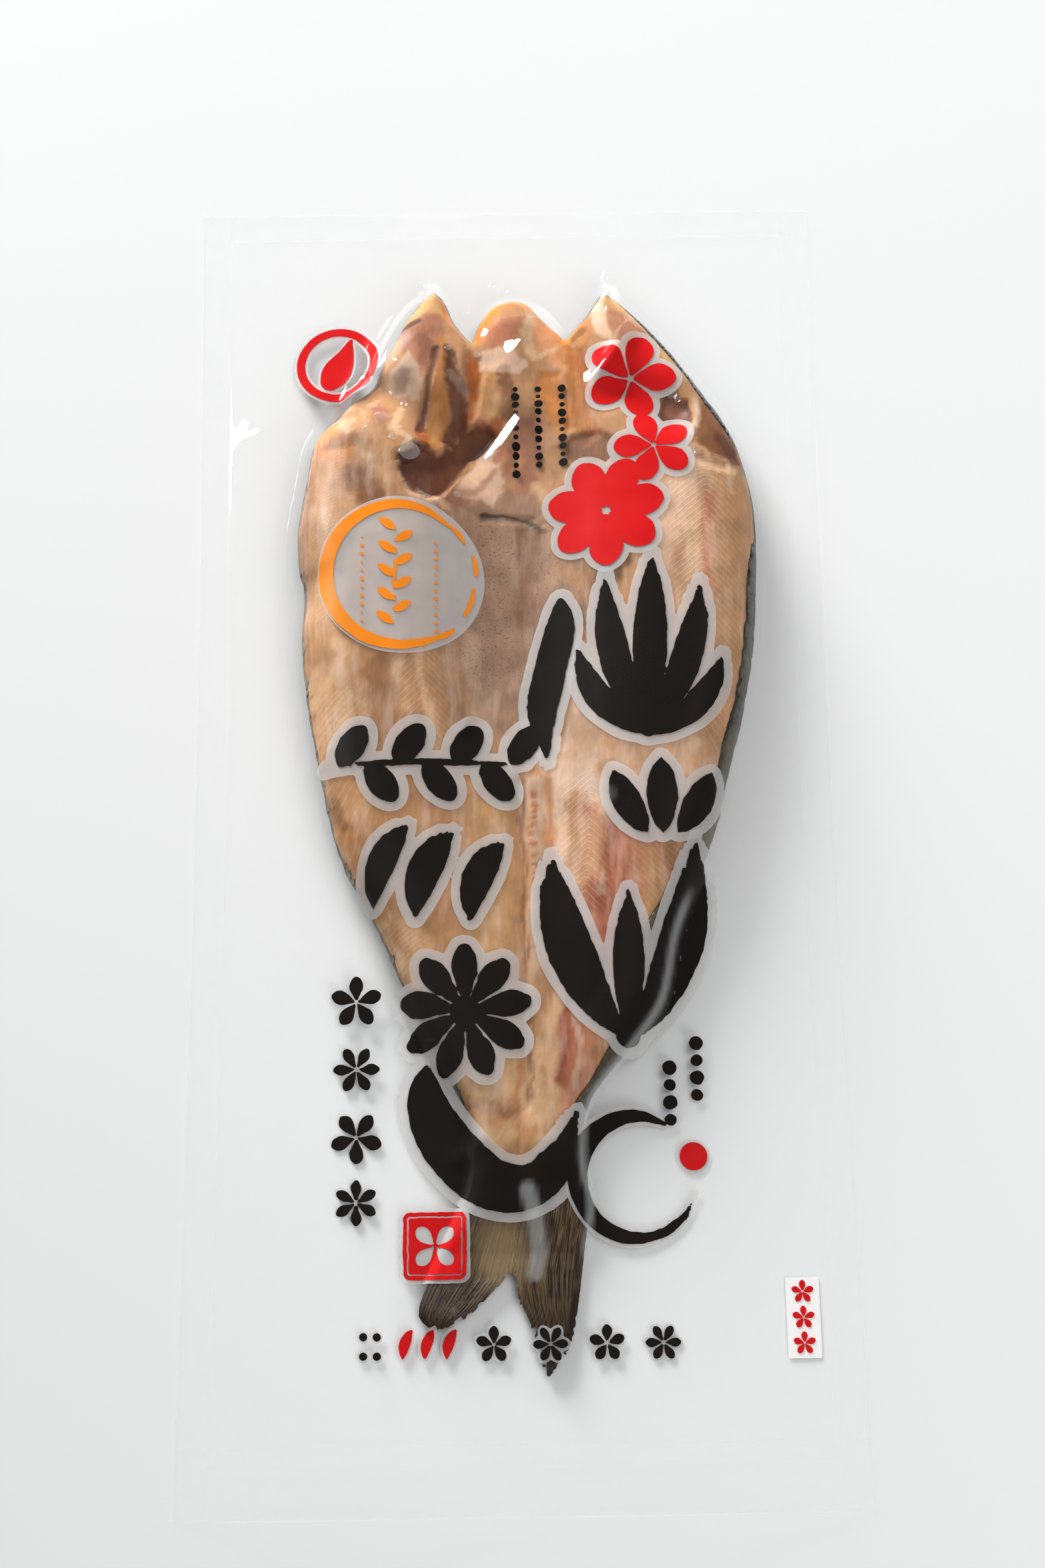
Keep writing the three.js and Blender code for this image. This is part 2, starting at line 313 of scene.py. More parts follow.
@dataclass(frozen=True)
class PouchForm:
    """Outer form of the filled pouch, in millimetres: the same as the frame's solid, but for a
    flatter backbone, as the tight film bridges it."""

    width: float = 220.0
    length: float = 452.0
    waist: float = 2.0
    film: float = 0.6
    seal_step: float = 0.35
    side_seal: float = 10.0
    foot_flap: float = 15.0
    foot_seal: float = 6.5
    step_width: float = 1.0
    flap_lift: float = 5.0
    flap_wave: float = 2.4
    flap_wave_length: float = 96.0
    flap_wave_shift: float = 14.0
    flap_corner: float = 30.0
    flap_bend: float = 1.4
    tent: float = 3.5
    tent_rim: float = 10.0
    skirt: float = 38.0
    underside_turn: float = 12.0
    seam_x: float = 3.0
    least_reach: float = 10.0
    crown_at: float = 0.6
    rim_roundness: float = 2.4

    @property
    def foot(self) -> float:
        """Y of the pouch's foot edge."""
        return -self.length / 2

    @property
    def head(self) -> float:
        """Y of the pouch's top edge."""
        return self.length / 2

    @property
    def seal_foot(self) -> float:
        """Y of the foot seal's lower edge."""
        return self.foot + self.foot_flap

    @property
    def seal_top(self) -> float:
        """Y of the foot seal's upper edge."""
        return self.seal_foot + self.foot_seal

    def outline(self) -> Array:
        """The fish's closed outline, from the left head tip down the left side and back.

        Returns:
            One row of x and y for each point.
        """
        forth = LEFT_EDGE, FORK_RIGHT, RIGHT_CHEEK, JAW_LEFT
        back = FORK_LEFT, RIGHT_EDGE, JAW_RIGHT, LEFT_CHEEK
        curves = [(smooth_curve(a, OUTLINE_STEPS), smooth_curve(b, OUTLINE_STEPS)[::-1])
                  for a, b in zip(forth, back)]
        return np.vstack([curve for pair in curves for curve in pair])

    def depth(self, x: Array, y: Array) -> Array:
        """Distance to the fish's outline, positive inside it and negative outside."""
        return signed_depth(x, y, self.outline())

    def station(self, which: Station, y: Array) -> Array:
        """One of the stations' quantities at y, in proportion between two stations."""
        return np.interp(y, STATIONS[::-1, 0], STATIONS[::-1, which.value])

    def side_at(self, y: Array) -> Array:
        """Half the pouch's width at y: its sides draw in halfway along, as a half sine."""
        return self.width / 2 - self.waist * np.sin(np.pi * (y - self.foot) / self.length)

    def reach(self, x: Array, y: Array) -> Array:
        """Place across the fish: -1 at its left edge, 0 at the seam, 1 at its right edge.

        Args:
            x, y: Places, in mm.

        Returns:
            The place across, from -1 to 1.
        """
        to_left = np.maximum(self.least_reach, self.seam_x - edge_x(LEFT_EDGE, y))
        to_right = np.maximum(self.least_reach, edge_x(RIGHT_EDGE, y) - self.seam_x)
        away = x - self.seam_x
        return np.where(away < 0, away / to_left, away / to_right)

    def crown(self, x: Array, y: Array) -> Array:
        """Height of the flesh before its rim is rounded: eased from seam to crown, plus relief.

        Args:
            x, y: Places, in mm.

        Returns:
            The height in mm.
        """
        reach = self.reach(x, y)
        side = np.where(reach < 0, self.station(Station.LEFT, y), self.station(Station.RIGHT, y))
        height = mix(self.station(Station.SEAM, y), side, smooth(np.abs(reach) / self.crown_at))
        return height + sum(swell.at(x, y) for swell in RELIEF)

    def flange(self, x: Array, y: Array, depth: Array) -> Array:
        """Height of the flat film: it sinks away from the fish, and the foot flap lifts in waves.

        Args:
            x, y: Places, in mm.
            depth: Distance inside the fish's outline.

        Returns:
            The height in mm.
        """
        sunk = smooth(1 + np.minimum(0, depth + self.tent) / self.skirt)
        along = np.clip((self.seal_top - y) / (self.foot_flap + self.foot_seal), 0, 1)
        turn = 2 * np.pi * (x - self.flap_wave_shift) / self.flap_wave_length
        wave = self.flap_lift + self.flap_wave * np.sin(turn)
        corner = smooth((self.width / 2 - np.abs(x)) / self.flap_corner)
        return self.station(Station.FLANGE, y) * sunk + along**self.flap_bend * wave * corner

    def film_thickness(self, x: Array, y: Array) -> Array:
        """Thickness of the flat film: the welded bands are thinner than the loose films.

        Args:
            x, y: Places, in mm.

        Returns:
            The thickness in mm.
        """
        from_side = self.side_at(y) - np.abs(x) - self.side_seal
        from_ends = np.minimum(self.head - self.side_seal - y, y - self.seal_top)
        inside = np.clip(np.minimum(from_side, from_ends) / self.step_width, 0, 1)
        on_flap = np.clip((self.seal_foot - y) / self.step_width, 0, 1)
        on_flap = on_flap * np.clip(from_side / self.step_width, 0, 1)
        return self.film - self.seal_step * (1 - np.maximum(inside, on_flap))

    def top(self, x: Array, y: Array) -> Array:
        """Upper face: the flange outside the fish, rising over a rounded rim to the crown.

        Args:
            x, y: Places, in mm.

        Returns:
            The height in mm.
        """
        depth = self.depth(x, y)
        rim = self.station(Station.RIM, y)
        tent = self.tent * np.clip(rim / self.tent_rim, 0, 1)
        climb = 1 - (1 - np.clip((depth + tent) / (rim + tent), 0, 1)) ** self.rim_roundness
        height = mix(self.flange(x, y, depth), self.crown(x, y), climb)
        return height + self.film_thickness(x, y)

    def bottom(self, x: Array, y: Array) -> Array:
        """Lower face: flat under the fish, turned up to the flange at its edge."""
        depth = self.depth(x, y)
        return self.flange(x, y, depth) * smooth(1 - depth / self.underside_turn)


def signed_depth(x: Array, y: Array, outline: Array) -> Array:
    """Distance to a closed outline, positive inside.

    The sign comes from counting how many of the outline's pieces a line to the right crosses.

    Args:
        x, y: Places.
        outline: The outline's points, in order.

    Returns:
        The signed distance at each point.
    """
    x, y = np.broadcast_arrays(np.asarray(x, float), np.asarray(y, float))
    nearest = np.full(x.shape, np.inf)
    inside = np.zeros(x.shape, bool)
    for a, b in zip(outline, np.roll(outline, -1, axis=0)):
        distance, _ = distance_to_piece(x, y, a, b)
        nearest = np.minimum(nearest, distance)
        if a[1] != b[1]:
            crosses = (a[1] > y) != (b[1] > y)
            inside ^= crosses & (x < a[0] + (b[0] - a[0]) * (y - a[1]) / (b[1] - a[1]))
    return np.where(inside, nearest, -nearest)


FORM = PouchForm()


# --- Wrinkles of the upper film ---

@dataclass(frozen=True)
class Pleat:
    """A raised fold of the upper film along a bent line, highest at its middle and pinched out
    at both ends: height times sin(pi * share) times exp(-(distance / width)^2)."""

    path: tuple[Point, ...]
    width: float
    height: float

    def at(self, x: Array, y: Array) -> Array:
        """Height that the fold adds at each point.

        Args:
            x, y: Places, in mm.

        Returns:
            The added height in mm.
        """
        path = smooth_curve(self.path, 4)
        total = len(path) - 1
        height = np.zeros(x.shape)
        for i, (a, b) in enumerate(zip(path[:-1], path[1:])):
            distance, share = distance_to_piece(x, y, a, b)
            along = np.sin(np.pi * (i + share) / total) ** 0.7
            height = np.maximum(height, along * np.exp(-((distance / self.width) ** 2)))
        return self.height * height


PLEATS: list[Pleat] = [
    Pleat(((15, 184), (11.8, 177), (9, 171), (5.8, 165.5), (3.4, 160)), 5.5, 4.8),
    Pleat(((14, 149), (9.6, 142.3), (5.4, 137), (1, 131), (-3.4, 125)), 5.2, 3.9),
    Pleat(((-33, 191), (-37.4, 183), (-42.4, 174), (-46.4, 165), (-51, 158)), 4.4, 4.2),
    Pleat(((-46, 163), (-51.6, 156), (-54, 148), (-56, 140.5), (-58, 134)), 4.4, 3.6),
    Pleat(((44.5, 178), (42, 171.5), (38.3, 164), (33.5, 156), (29.5, 150)), 3.8, 3.8),
    Pleat(((39, 208), (38, 200), (37.4, 192), (36.6, 184), (36, 178)), 2.6, 3.2),
    Pleat(((-27, 205), (-25.6, 196), (-27, 186)), 2.6, 1.4),
    Pleat(((-110, 140), (-96, 137), (-80, 142), (-68, 150)), 7, 2.6),
    Pleat(((72, 150), (88, 158), (104, 160)), 6, 1.0),
    Pleat(((0.5, 50), (-0.6, 41), (-2.8, 33), (-6, 25)), 2.6, 1.5),
    Pleat(((-11, 44), (-14, 33), (-17, 24)), 2.4, 1.4),
    Pleat(((-60, -46), (-78, -52), (-98, -54)), 6, 0.9),
    Pleat(((54, -60), (72, -70), (96, -74)), 6, 1.0),
    Pleat(((20, -118), (38, -126), (64, -128)), 5, 0.8),
    Pleat(((1.6, -118), (4.6, -132), (6, -144), (3, -157)), 3.4, 1.8),
    Pleat(((14, -108), (19, -124), (20, -142)), 2.8, 1.0),
    Pleat(((-66, 8), (-60, -2), (-52, -12)), 3.4, 1.0),
    Pleat(((24, 26), (30, 14), (34, 0)), 3.0, 0.9),
    Pleat(((-24, -118), (-14, -112), (-6, -102)), 3.2, 0.9),
]


@dataclass(frozen=True)
class FilmSurface:
    """The tight upper film: the pouch's form plus its folds and a slight unevenness."""

    form: PouchForm = FORM
    sag: float = 0.35
    sag_size: float = 26.0
    fade: float = 12.0

    def folds(self, x: Array, y: Array) -> Array:
        """Height of the folds, faded out towards the pouch's welded edges.

        Args:
            x, y: Places, in mm.

        Returns:
            The added height in mm.
        """
        inward = np.minimum(self.form.side_at(y) - np.abs(x), self.form.head - y)
        inward = np.minimum(inward, y - self.form.seal_top)
        height = sum(pleat.at(x, y) for pleat in PLEATS)
        height = height + self.sag * cloud_noise(x, y, self.sag_size, seed=11)
        return height * smooth((inward - self.form.side_seal) / self.fade)

    def __call__(self, x: Array, y: Array) -> Array:
        """Height of the upper film's outer face."""
        return self.form.top(x, y) + self.folds(x, y)


FILM = FilmSurface()


# --- Meshes from arrays ---

@dataclass
class Shape:
    """A mesh in the making: points in mm, triangles, and which triangles are shaded flat."""

    points: Array
    triangles: Array
    flat: Array | None = None

    @staticmethod
    def joined(shapes: Sequence["Shape"]) -> "Shape":
        """Several shapes as one, with their triangles renumbered.

        Args:
            shapes: The shapes to join.

        Returns:
            One shape.
        """
        offsets = np.cumsum([0] + [len(s.points) for s in shapes[:-1]])
        flat = [np.zeros(len(s.triangles), bool) if s.flat is None else s.flat for s in shapes]
        return Shape(
            np.vstack([s.points for s in shapes]),
            np.vstack([s.triangles + o for s, o in zip(shapes, offsets)]),
            np.concatenate(flat),
        )


def split_quads(quads: Array) -> Array:
    """Each four-sided face, given by its corners in order, as two triangles."""
    return np.vstack([quads[:, [0, 1, 2]], quads[:, [0, 2, 3]]])


def grid_quads(rows: int, columns: int, wrap: bool = False) -> Array:
    """Faces of a grid of points numbered row by row; wrap closes it across the columns.

    Args:
        rows, columns: Points along each side.
        wrap: Whether the last column joins the first.

    Returns:
        Four point numbers for each face.
    """
    index = np.arange(rows * columns).reshape(rows, columns)
    if wrap:
        index = np.hstack([index, index[:, :1]])
    corners = index[:-1, :-1], index[:-1, 1:], index[1:, 1:], index[1:, :-1]
    return np.stack([c.ravel() for c in corners], axis=1)


def make_piece(name: str, shape: Shape, finish: Material, slot: str,
               **stored: Array) -> Piece:
    """Puts a shape into the scene as a mesh object at the origin, riding on the body.

    Args:
        name: Name of the piece.
        shape: Its points in mm and triangles.
        finish: Its material.
        slot: Not used.
        stored: Numbers or linear colours, one for each point, for its material to read.

    Returns:
        The new object.
    """
    mesh = bpy.data.meshes.new(name)
    count = len(shape.triangles)
    mesh.vertices.add(len(shape.points))
    mesh.vertices.foreach_set("co", (shape.points * MM).astype(np.float32).ravel())
    mesh.loops.add(count * 3)
    mesh.loops.foreach_set("vertex_index", shape.triangles.astype(np.int32).ravel())
    mesh.polygons.add(count)
    mesh.polygons.foreach_set("loop_start", np.arange(0, count * 3, 3, dtype=np.int32))
    smooth_faces = np.ones(count, bool) if shape.flat is None else ~shape.flat
    mesh.polygons.foreach_set("use_smooth", smooth_faces)
    mesh.update(calc_edges=True)
    mesh.validate()
    mesh.set_sharp_from_angle(angle=math.radians(50))
    mesh.materials.append(finish)
    piece = bpy.data.objects.new(name, mesh)
    bpy.context.scene.collection.objects.link(piece)
    for key, values in stored.items():
        if np.ndim(values) == 2:
            layer = mesh.color_attributes.new(key, "FLOAT_COLOR", "POINT")
            values = np.hstack([values, np.ones((len(values), 1))])
            layer.data.foreach_set("color", values.astype(np.float32).ravel())
        else:
            layer = mesh.attributes.new(key, "FLOAT", "POINT")
            layer.data.foreach_set("value", np.asarray(values, np.float32))
    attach(piece, BODY)
    LOG.info("%s: %d triangles", name, count)
    return piece


def border_pieces(triangles: Array) -> Array:
    """The directed edges that only one triangle has, as pairs of point numbers.

    Args:
        triangles: Three point numbers for each triangle.

    Returns:
        Two point numbers for each edge.
    """
    edges = np.vstack([triangles[:, [0, 1]], triangles[:, [1, 2]], triangles[:, [2, 0]]])
    keys = np.sort(edges, axis=1)
    keys = keys[:, 0].astype(np.int64) * (int(triangles.max()) + 1) + keys[:, 1]
    _, where, counts = np.unique(keys, return_index=True, return_counts=True)
    return edges[where[counts == 1]]


def closed(upper: Array, lower: Array, faces: Array, flat_wall: bool) -> Shape:
    """Closes two like sheets of points with a wall round their border.

    Args:
        upper: The upper sheet's points.
        lower: The lower sheet's points, in the same order.
        faces: The upper sheet's triangles. The lower sheet has them turned over.
        flat_wall: Whether the wall is shaded flat.

    Returns:
        The closed shape.
    """
    under = len(upper)
    edge = border_pieces(faces)
    wall = split_quads(np.stack(
        [edge[:, 1], edge[:, 0], edge[:, 0] + under, edge[:, 1] + under], axis=1))
    triangles = np.vstack([faces, faces[:, ::-1] + under, wall])
    flat = np.zeros(len(triangles), bool)
    flat[len(triangles) - len(wall):] = flat_wall
    return Shape(np.vstack([upper, lower]), triangles, flat)


def plate(field_at: Height, box: Box, step: float, top: Height, bottom: Height) -> Shape:
    """A closed plate over the region where a field is positive.

    A square grid is laid over the box. Its cells with all four corners in the region become two
    triangles, and those with three become one. Points on the region's border are moved down
    the field's slope onto its zero line, so the border is smooth. The upper face takes its
    height from one function and the lower from another, and a wall joins them round the border.

    Args:
        field_at: The field, positive inside the region, about 1 steep.
        box: Low x, low y, high x and high y of the grid.
        step: Side of a cell.
        top: Height of the upper face.
        bottom: Height of the lower face.

    Returns:
        The plate, with its wall shaded flat.
    """
    xs = np.arange(box[0], box[2] + step, step)
    ys = np.arange(box[1], box[3] + step, step)
    x, y = np.meshgrid(xs, ys)
    value = field_at(x, y)
    inside = value > 0
    index = np.arange(x.size).reshape(x.shape)
    corner = [index[:-1, :-1], index[:-1, 1:], index[1:, 1:], index[1:, :-1]]
    held = [inside[:-1, :-1], inside[:-1, 1:], inside[1:, 1:], inside[1:, :-1]]
    count = sum(h.astype(int) for h in held)
    faces = [split_quads(np.stack([c[count == 4] for c in corner], axis=1))]
    for left_out in range(4):
        keep = [i for i in range(4) if i != left_out]
        here = (count == 3) & ~held[left_out]
        faces.append(np.stack([corner[i][here] for i in keep], axis=1))
    triangles = np.vstack(faces)
    rim = np.unique(border_pieces(triangles))
    slope_y, slope_x = np.gradient(value, step)
    steep = np.maximum(slope_x**2 + slope_y**2, 0.05)
    flat_x, flat_y = x.ravel().copy(), y.ravel().copy()
    shift = (value / steep).ravel()[rim]
    reach = 1.4 * step
    flat_x[rim] -= np.clip(shift * slope_x.ravel()[rim], -reach, reach)
    flat_y[rim] -= np.clip(shift * slope_y.ravel()[rim], -reach, reach)
    used, triangles = np.unique(triangles, return_inverse=True)
    triangles = triangles.reshape(-1, 3)
    flat_x, flat_y = flat_x[used], flat_y[used]
    upper = np.stack([flat_x, flat_y, top(flat_x, flat_y)], axis=1)
    lower = np.stack([flat_x, flat_y, bottom(flat_x, flat_y)], axis=1)
    return closed(upper, lower, triangles, True)


# --- Node helpers and finishes ---

class Nodes:
    """A material's node tree, with short ways to add and link nodes."""

    def __init__(self, name: str) -> None:
        """Makes an empty material with an output node.

        Args:
            name: The material's name.
        """
        self.material = bpy.data.materials.new(name)
        self.material.use_nodes = True
        self.tree = self.material.node_tree
        self.tree.nodes.clear()
        self.output = self.tree.nodes.new("ShaderNodeOutputMaterial")

    def add(self, kind: str, sockets: dict | None = None, **settings: object) -> bpy.types.Node:
        """Adds a node.

        Args:
            kind: The node's type, without "ShaderNode".
            sockets: Input name or number to a value, or to an output socket that feeds it.
            settings: The node's own settings.

        Returns:
            The node.
        """
        node = self.tree.nodes.new("ShaderNode" + kind)
        for key, value in settings.items():
            setattr(node, key, value)
        for key, value in (sockets or {}).items():
            if isinstance(value, Socket):
                self.tree.links.new(value, node.inputs[key])
            else:
                node.inputs[key].default_value = value
        return node

    def value(self, name: str) -> Socket:
        """The piece's stored number of that name."""
        return self.add("Attribute", attribute_name=name).outputs["Fac"]

    def colour(self, name: str) -> Socket:
        """The piece's stored colour of that name."""
        return self.add("Attribute", attribute_name=name).outputs["Color"]

    def place(self) -> Socket:
        """The point's place in the object's own frame, in metres."""
        return self.add("TexCoord").outputs["Object"]

    def noise(self, scale: float, detail: float = 3.0, stretch: tuple = (1, 1, 1),
              vector: Socket | None = None) -> Socket:
        """Cloudy noise from 0 to 1, with scale in cells a metre, stretched along the axes.

        Args:
            scale: Cells a metre.
            detail: Octaves.
            stretch: Scale along each axis.
            vector: Where it is read, if not in the object's own frame.

        Returns:
            The noise.
        """
        mapping = self.add("Mapping", {"Vector": vector or self.place(), "Scale": stretch})
        sockets = {"Vector": mapping.outputs[0], "Scale": scale, "Detail": detail}
        return self.add("TexNoise", sockets).outputs["Fac"]

    def ramp(self, source: Socket, low: float, high: float,
             to_low: float = 0.0, to_high: float = 1.0) -> Socket:
        """Maps a number from the range low to high onto another range, held at its ends."""
        sockets = {0: source, 1: low, 2: high, 3: to_low, 4: to_high}
        return self.add("MapRange", sockets).outputs[0]

    def maths(self, operation: str, *values: object) -> Socket:
        """One sum on numbers or sockets."""
        return self.add("Math", dict(enumerate(values)), operation=operation).outputs[0]

    def times(self, a: object, b: object) -> Socket:
        """The product of two numbers or sockets."""
        return self.maths("MULTIPLY", a, b)

    def shaded(self, colour: object, shade: Socket) -> Socket:
        """A colour times a grey of that shade."""
        grey = self.add("CombineColor", {0: shade, 1: shade, 2: shade})
        return self.blend(1.0, colour, grey.outputs[0], "MULTIPLY")

    def blend(self, share: object, a: object, b: object, mode: str = "MIX") -> Socket:
        """Two colours mixed by a share.

        Args:
            share: Share of b.
            a, b: Colours or sockets.
            mode: How they are mixed.

        Returns:
            The mixed colour.
        """
        node = self.add("Mix", data_type="RGBA", blend_type=mode)
        for key, value in ((0, share), (6, a), (7, b)):
            if isinstance(value, Socket):
                self.tree.links.new(value, node.inputs[key])
            else:
                node.inputs[key].default_value = (*value, 1.0) if key else value
        return node.outputs[2]

    def bump(self, height: Socket, metres: float,
             strength: float = 1.0) -> Socket:
        """A bumped normal from a height of 0 to 1."""
        sockets = {"Height": height, "Distance": metres, "Strength": strength}
        return self.add("Bump", sockets).outputs[0]

    def finish(self, kind: str, sockets: dict) -> Material:
        """Feeds the surface from a last shader node and gives back the material.

        Args:
            kind: The shader node's type.
            sockets: Its inputs.

        Returns:
            The material.
        """
        shader = self.add(kind, sockets)
        self.tree.links.new(shader.outputs[0], self.output.inputs["Surface"])
        return self.material


@dataclass(frozen=True)
class FilmFinish:
    """Clear glossy film: see-through, with a mirror gloss that grows at a slant, and a faint
    haze that is stronger on the welded bands. The gloss is added to what shows through, as the
    light lost by one face of so thin a film comes back from the next."""

    ior: float = 1.62
    most: float = 0.14
    through: float = 0.976
    roughness: float = 0.045
    rough_crinkle: float = 0.46
    haze_colour: Colour = (0.9, 0.92, 0.93)
    uneven_metres: float = 0.00025

    def build(self) -> Material:
        """The film's material.

        Returns:
            The material.
        """
        n = Nodes("film")
        height = n.noise(70, 2, stretch=(1, 0.7, 1))
        normal = n.bump(height, self.uneven_metres, 0.6)
        clear = n.add("BsdfTransparent", {"Color": (self.through, self.through, self.through, 1)})
        fresnel = n.add("Fresnel", {"IOR": self.ior, "Normal": normal})
        shine = n.times(n.maths("MINIMUM", fresnel.outputs[0], self.most), n.value("shine"))
        gloss = n.add("BsdfGlossy", {
            "Color": shine,
            "Roughness": n.ramp(n.value("crinkle"), 0.0, 1.0, self.roughness, self.rough_crinkle),
            "Normal": normal,
        })
        glossy = n.add("AddShader", {0: clear.outputs[0], 1: gloss.outputs[0]})
        milk = n.add("BsdfDiffuse", {"Color": (*self.haze_colour, 1)})
        return n.finish("MixShader", {0: n.value("haze"), 1: glossy.outputs[0], 2: milk.outputs[0]})


@dataclass(frozen=True)
class FleshFinish:
    """Moist, slightly see-through flesh: painted colour, pale fibres and muscle walls, grain."""

    depth_tint: Colour = (0.87, 0.745, 0.64)
    roughness: float = 0.5
    glow: float = 0.18
    glow_metres: float = 0.003
    muscle_pitch: float = 2.4
    wobble: float = 3.0
    wall_share: float = 0.17
    pale: Colour = srgb(240, 214, 184)
    streak: Colour = srgb(240, 214, 196)
    speck: Colour = srgb(84, 70, 64)

    def build(self) -> Material:
        """The flesh's material.

        Returns:
            The material.
        """
        n = Nodes("fish_flesh")
        along = n.maths("ADD", n.value("muscle_along"), n.times(n.noise(80, 4), self.wobble))
        wave = n.maths("SINE", n.times(along, 2 * math.pi / self.muscle_pitch))
        wall = n.times(n.ramp(wave, 0.55, 1.0), n.value("muscle"))
        grain = n.noise(900, 4, stretch=(1, 0.35, 1))
        cloud = n.noise(110, 4)
        painted = n.blend(1.0, n.colour("paint"), self.depth_tint, "MULTIPLY")
        shade = n.times(n.ramp(cloud, 0.3, 0.7, 0.8, 1.16), n.ramp(grain, 0.3, 0.7, 0.95, 1.06))
        lively = n.shaded(painted, shade)
        fibre = n.ramp(n.noise(260, 3, stretch=(1, 0.2, 1)), 0.48, 0.68, 0.0, 0.26)
        streaked = n.blend(n.times(fibre, n.value("fibre")), lively, self.streak)
        walled = n.blend(n.times(wall, self.wall_share), streaked, self.pale)
        dots = n.ramp(n.noise(1500, 2), 0.60, 0.68)
        speckled = n.blend(n.times(dots, n.value("speckle")), walled, self.speck)
        relief = n.maths("ADD", n.times(grain, 0.5), n.times(wall, 0.16))
        return n.finish("BsdfPrincipled", {
            "Base Color": speckled,
            "Roughness": self.roughness,
            "Specular IOR Level": 0.2,
            "Subsurface Weight": self.glow,
            "Subsurface Radius": (1.0, 0.45, 0.25),
            "Subsurface Scale": self.glow_metres,
            "Normal": n.bump(relief, 0.0004, 0.7),
        })


@dataclass(frozen=True)
class SkinFinish:
    """Wet fish skin: dark back, paler belly, with cloudy bars and fine scales."""

    roughness: float = 0.3
    scale_cells: float = 520.0
    dark: Colour = srgb(22, 22, 22)
    light: Colour = srgb(120, 110, 90)

    def build(self) -> Material:
        """The skin's material.

        Returns:
            The material.
        """
        n = Nodes("fish_skin")
        bars = n.noise(38, 3, stretch=(0.6, 1.6, 1))
        cells = n.add("TexVoronoi", {"Vector": n.place(), "Scale": self.scale_cells})
        tone = n.maths("ADD", n.ramp(bars, 0.35, 0.65, -0.25, 0.25), n.value("belly"))
        colour = n.blend(n.ramp(tone, 0.0, 1.0), self.dark, self.light)
        fine = n.blend(n.ramp(cells.outputs[0], 0.1, 0.6, 0.0, 0.25), colour, self.light)
        return n.finish("BsdfPrincipled", {
            "Base Color": fine,
            "Roughness": self.roughness,
            "Normal": n.bump(cells.outputs[0], 0.00025, 0.6),
        })


@dataclass(frozen=True)
class FinFinish:
    """A dried fin: brown rays over a thinner, paler web, darker to its tips."""

    dark: Colour = srgb(34, 25, 19)
    brown: Colour = srgb(98, 74, 49)
    pale: Colour = srgb(168, 142, 104)
    roughness: float = 0.42

    def build(self) -> Material:
        """The fin's material.

        Returns:
            The material.
        """
        n = Nodes("tail_fin")
        along = n.times(n.add("SeparateXYZ", {0: n.place()}).outputs[1], 22.0)
        rays = n.add("CombineXYZ", {0: n.value("ray"), 1: along}).outputs[0]
        streak = n.add("TexNoise", {"Vector": rays, "Scale": 1.6, "Detail": 4.0}).outputs["Fac"]
        fine = n.add("TexNoise", {"Vector": rays, "Scale": 6.0, "Detail": 2.0}).outputs["Fac"]
        colour = n.blend(n.ramp(streak, 0.43, 0.58), self.dark, self.brown)
        colour = n.blend(n.ramp(fine, 0.52, 0.68, 0.0, 0.6), colour, self.pale)
        colour = n.blend(n.value("light"), colour, self.pale)
        colour = n.blend(n.value("tip"), colour, self.dark)
        return n.finish("BsdfPrincipled", {
            "Base Color": colour,
            "Roughness": self.roughness,
            "Normal": n.bump(fine, 0.0003, 0.8),
        })


@dataclass(frozen=True)
class InkFinish:
    """A printed ink under the film: full or frosted, smooth, a little uneven in density."""

    name: str
    colour: Colour
    cover: float = 1.0
    roughness: float = 0.4
    gloss: float = 0.06
    uneven: float = 0.06

    def build(self) -> Material:
        """The ink's material.

        Returns:
            The material.
        """
        n = Nodes(self.name)
        lighter = tuple(min(1.0, c + self.uneven * (0.2 + c)) for c in self.colour)
        tone = n.blend(n.ramp(n.noise(160, 3), 0.35, 0.7), self.colour, lighter)
        sockets = {
            "Base Color": tone, "Roughness": self.roughness, "Specular IOR Level": self.gloss,
        }
        if self.cover >= 1:
            return n.finish("BsdfPrincipled", sockets)
        clear, ink = n.add("BsdfTransparent"), n.add("BsdfPrincipled", sockets)
        return n.finish("MixShader", {0: self.cover, 1: clear.outputs[0], 2: ink.outputs[0]})


@dataclass(frozen=True)
class FloorFinish:
    """A plain pale table, matt."""

    colour: Colour = (0.86, 0.865, 0.865)
    roughness: float = 0.7

    def build(self) -> Material:
        """The floor's material.

        Returns:
            The material.
        """
        n = Nodes("pale_floor")
        colour = n.shaded(self.colour, n.ramp(n.noise(3, 2), 0.3, 0.7, 0.995, 1.0))
        return n.finish("BsdfPrincipled", {"Base Color": colour, "Roughness": self.roughness})


# --- Height maps, so that thousands of points can read a form quickly ---

@dataclass(frozen=True)
class HeightMap:
    """A function of x and y worked out once on a square lattice and read between its points."""

    low: Point
    step: float
    values: Array

    @classmethod
    def of(cls, function: Height, half: Point = (112, 228), step: float = 0.8) -> "HeightMap":
        """Samples a function over the rectangle round the origin of that half-width and
        half-length, a little past the pouch."""
        x, y = np.meshgrid(*(np.arange(-side, side + step, step) for side in half))
        return cls((-half[0], -half[1]), step, function(x, y))

    def __call__(self, x: Array, y: Array) -> Array:
        """The value at each point, mixed from the four lattice points round it.

        Args:
            x, y: Places, in mm.

        Returns:
            The value at each place.
        """
        rows, columns = self.values.shape
        u = np.clip((x - self.low[0]) / self.step, 0, columns - 1.001)
        v = np.clip((y - self.low[1]) / self.step, 0, rows - 1.001)
        i, j = u.astype(int), v.astype(int)
        low = mix(self.values[j, i], self.values[j, i + 1], u - i)
        high = mix(self.values[j + 1, i], self.values[j + 1, i + 1], u - i)
        return mix(low, high, v - j)


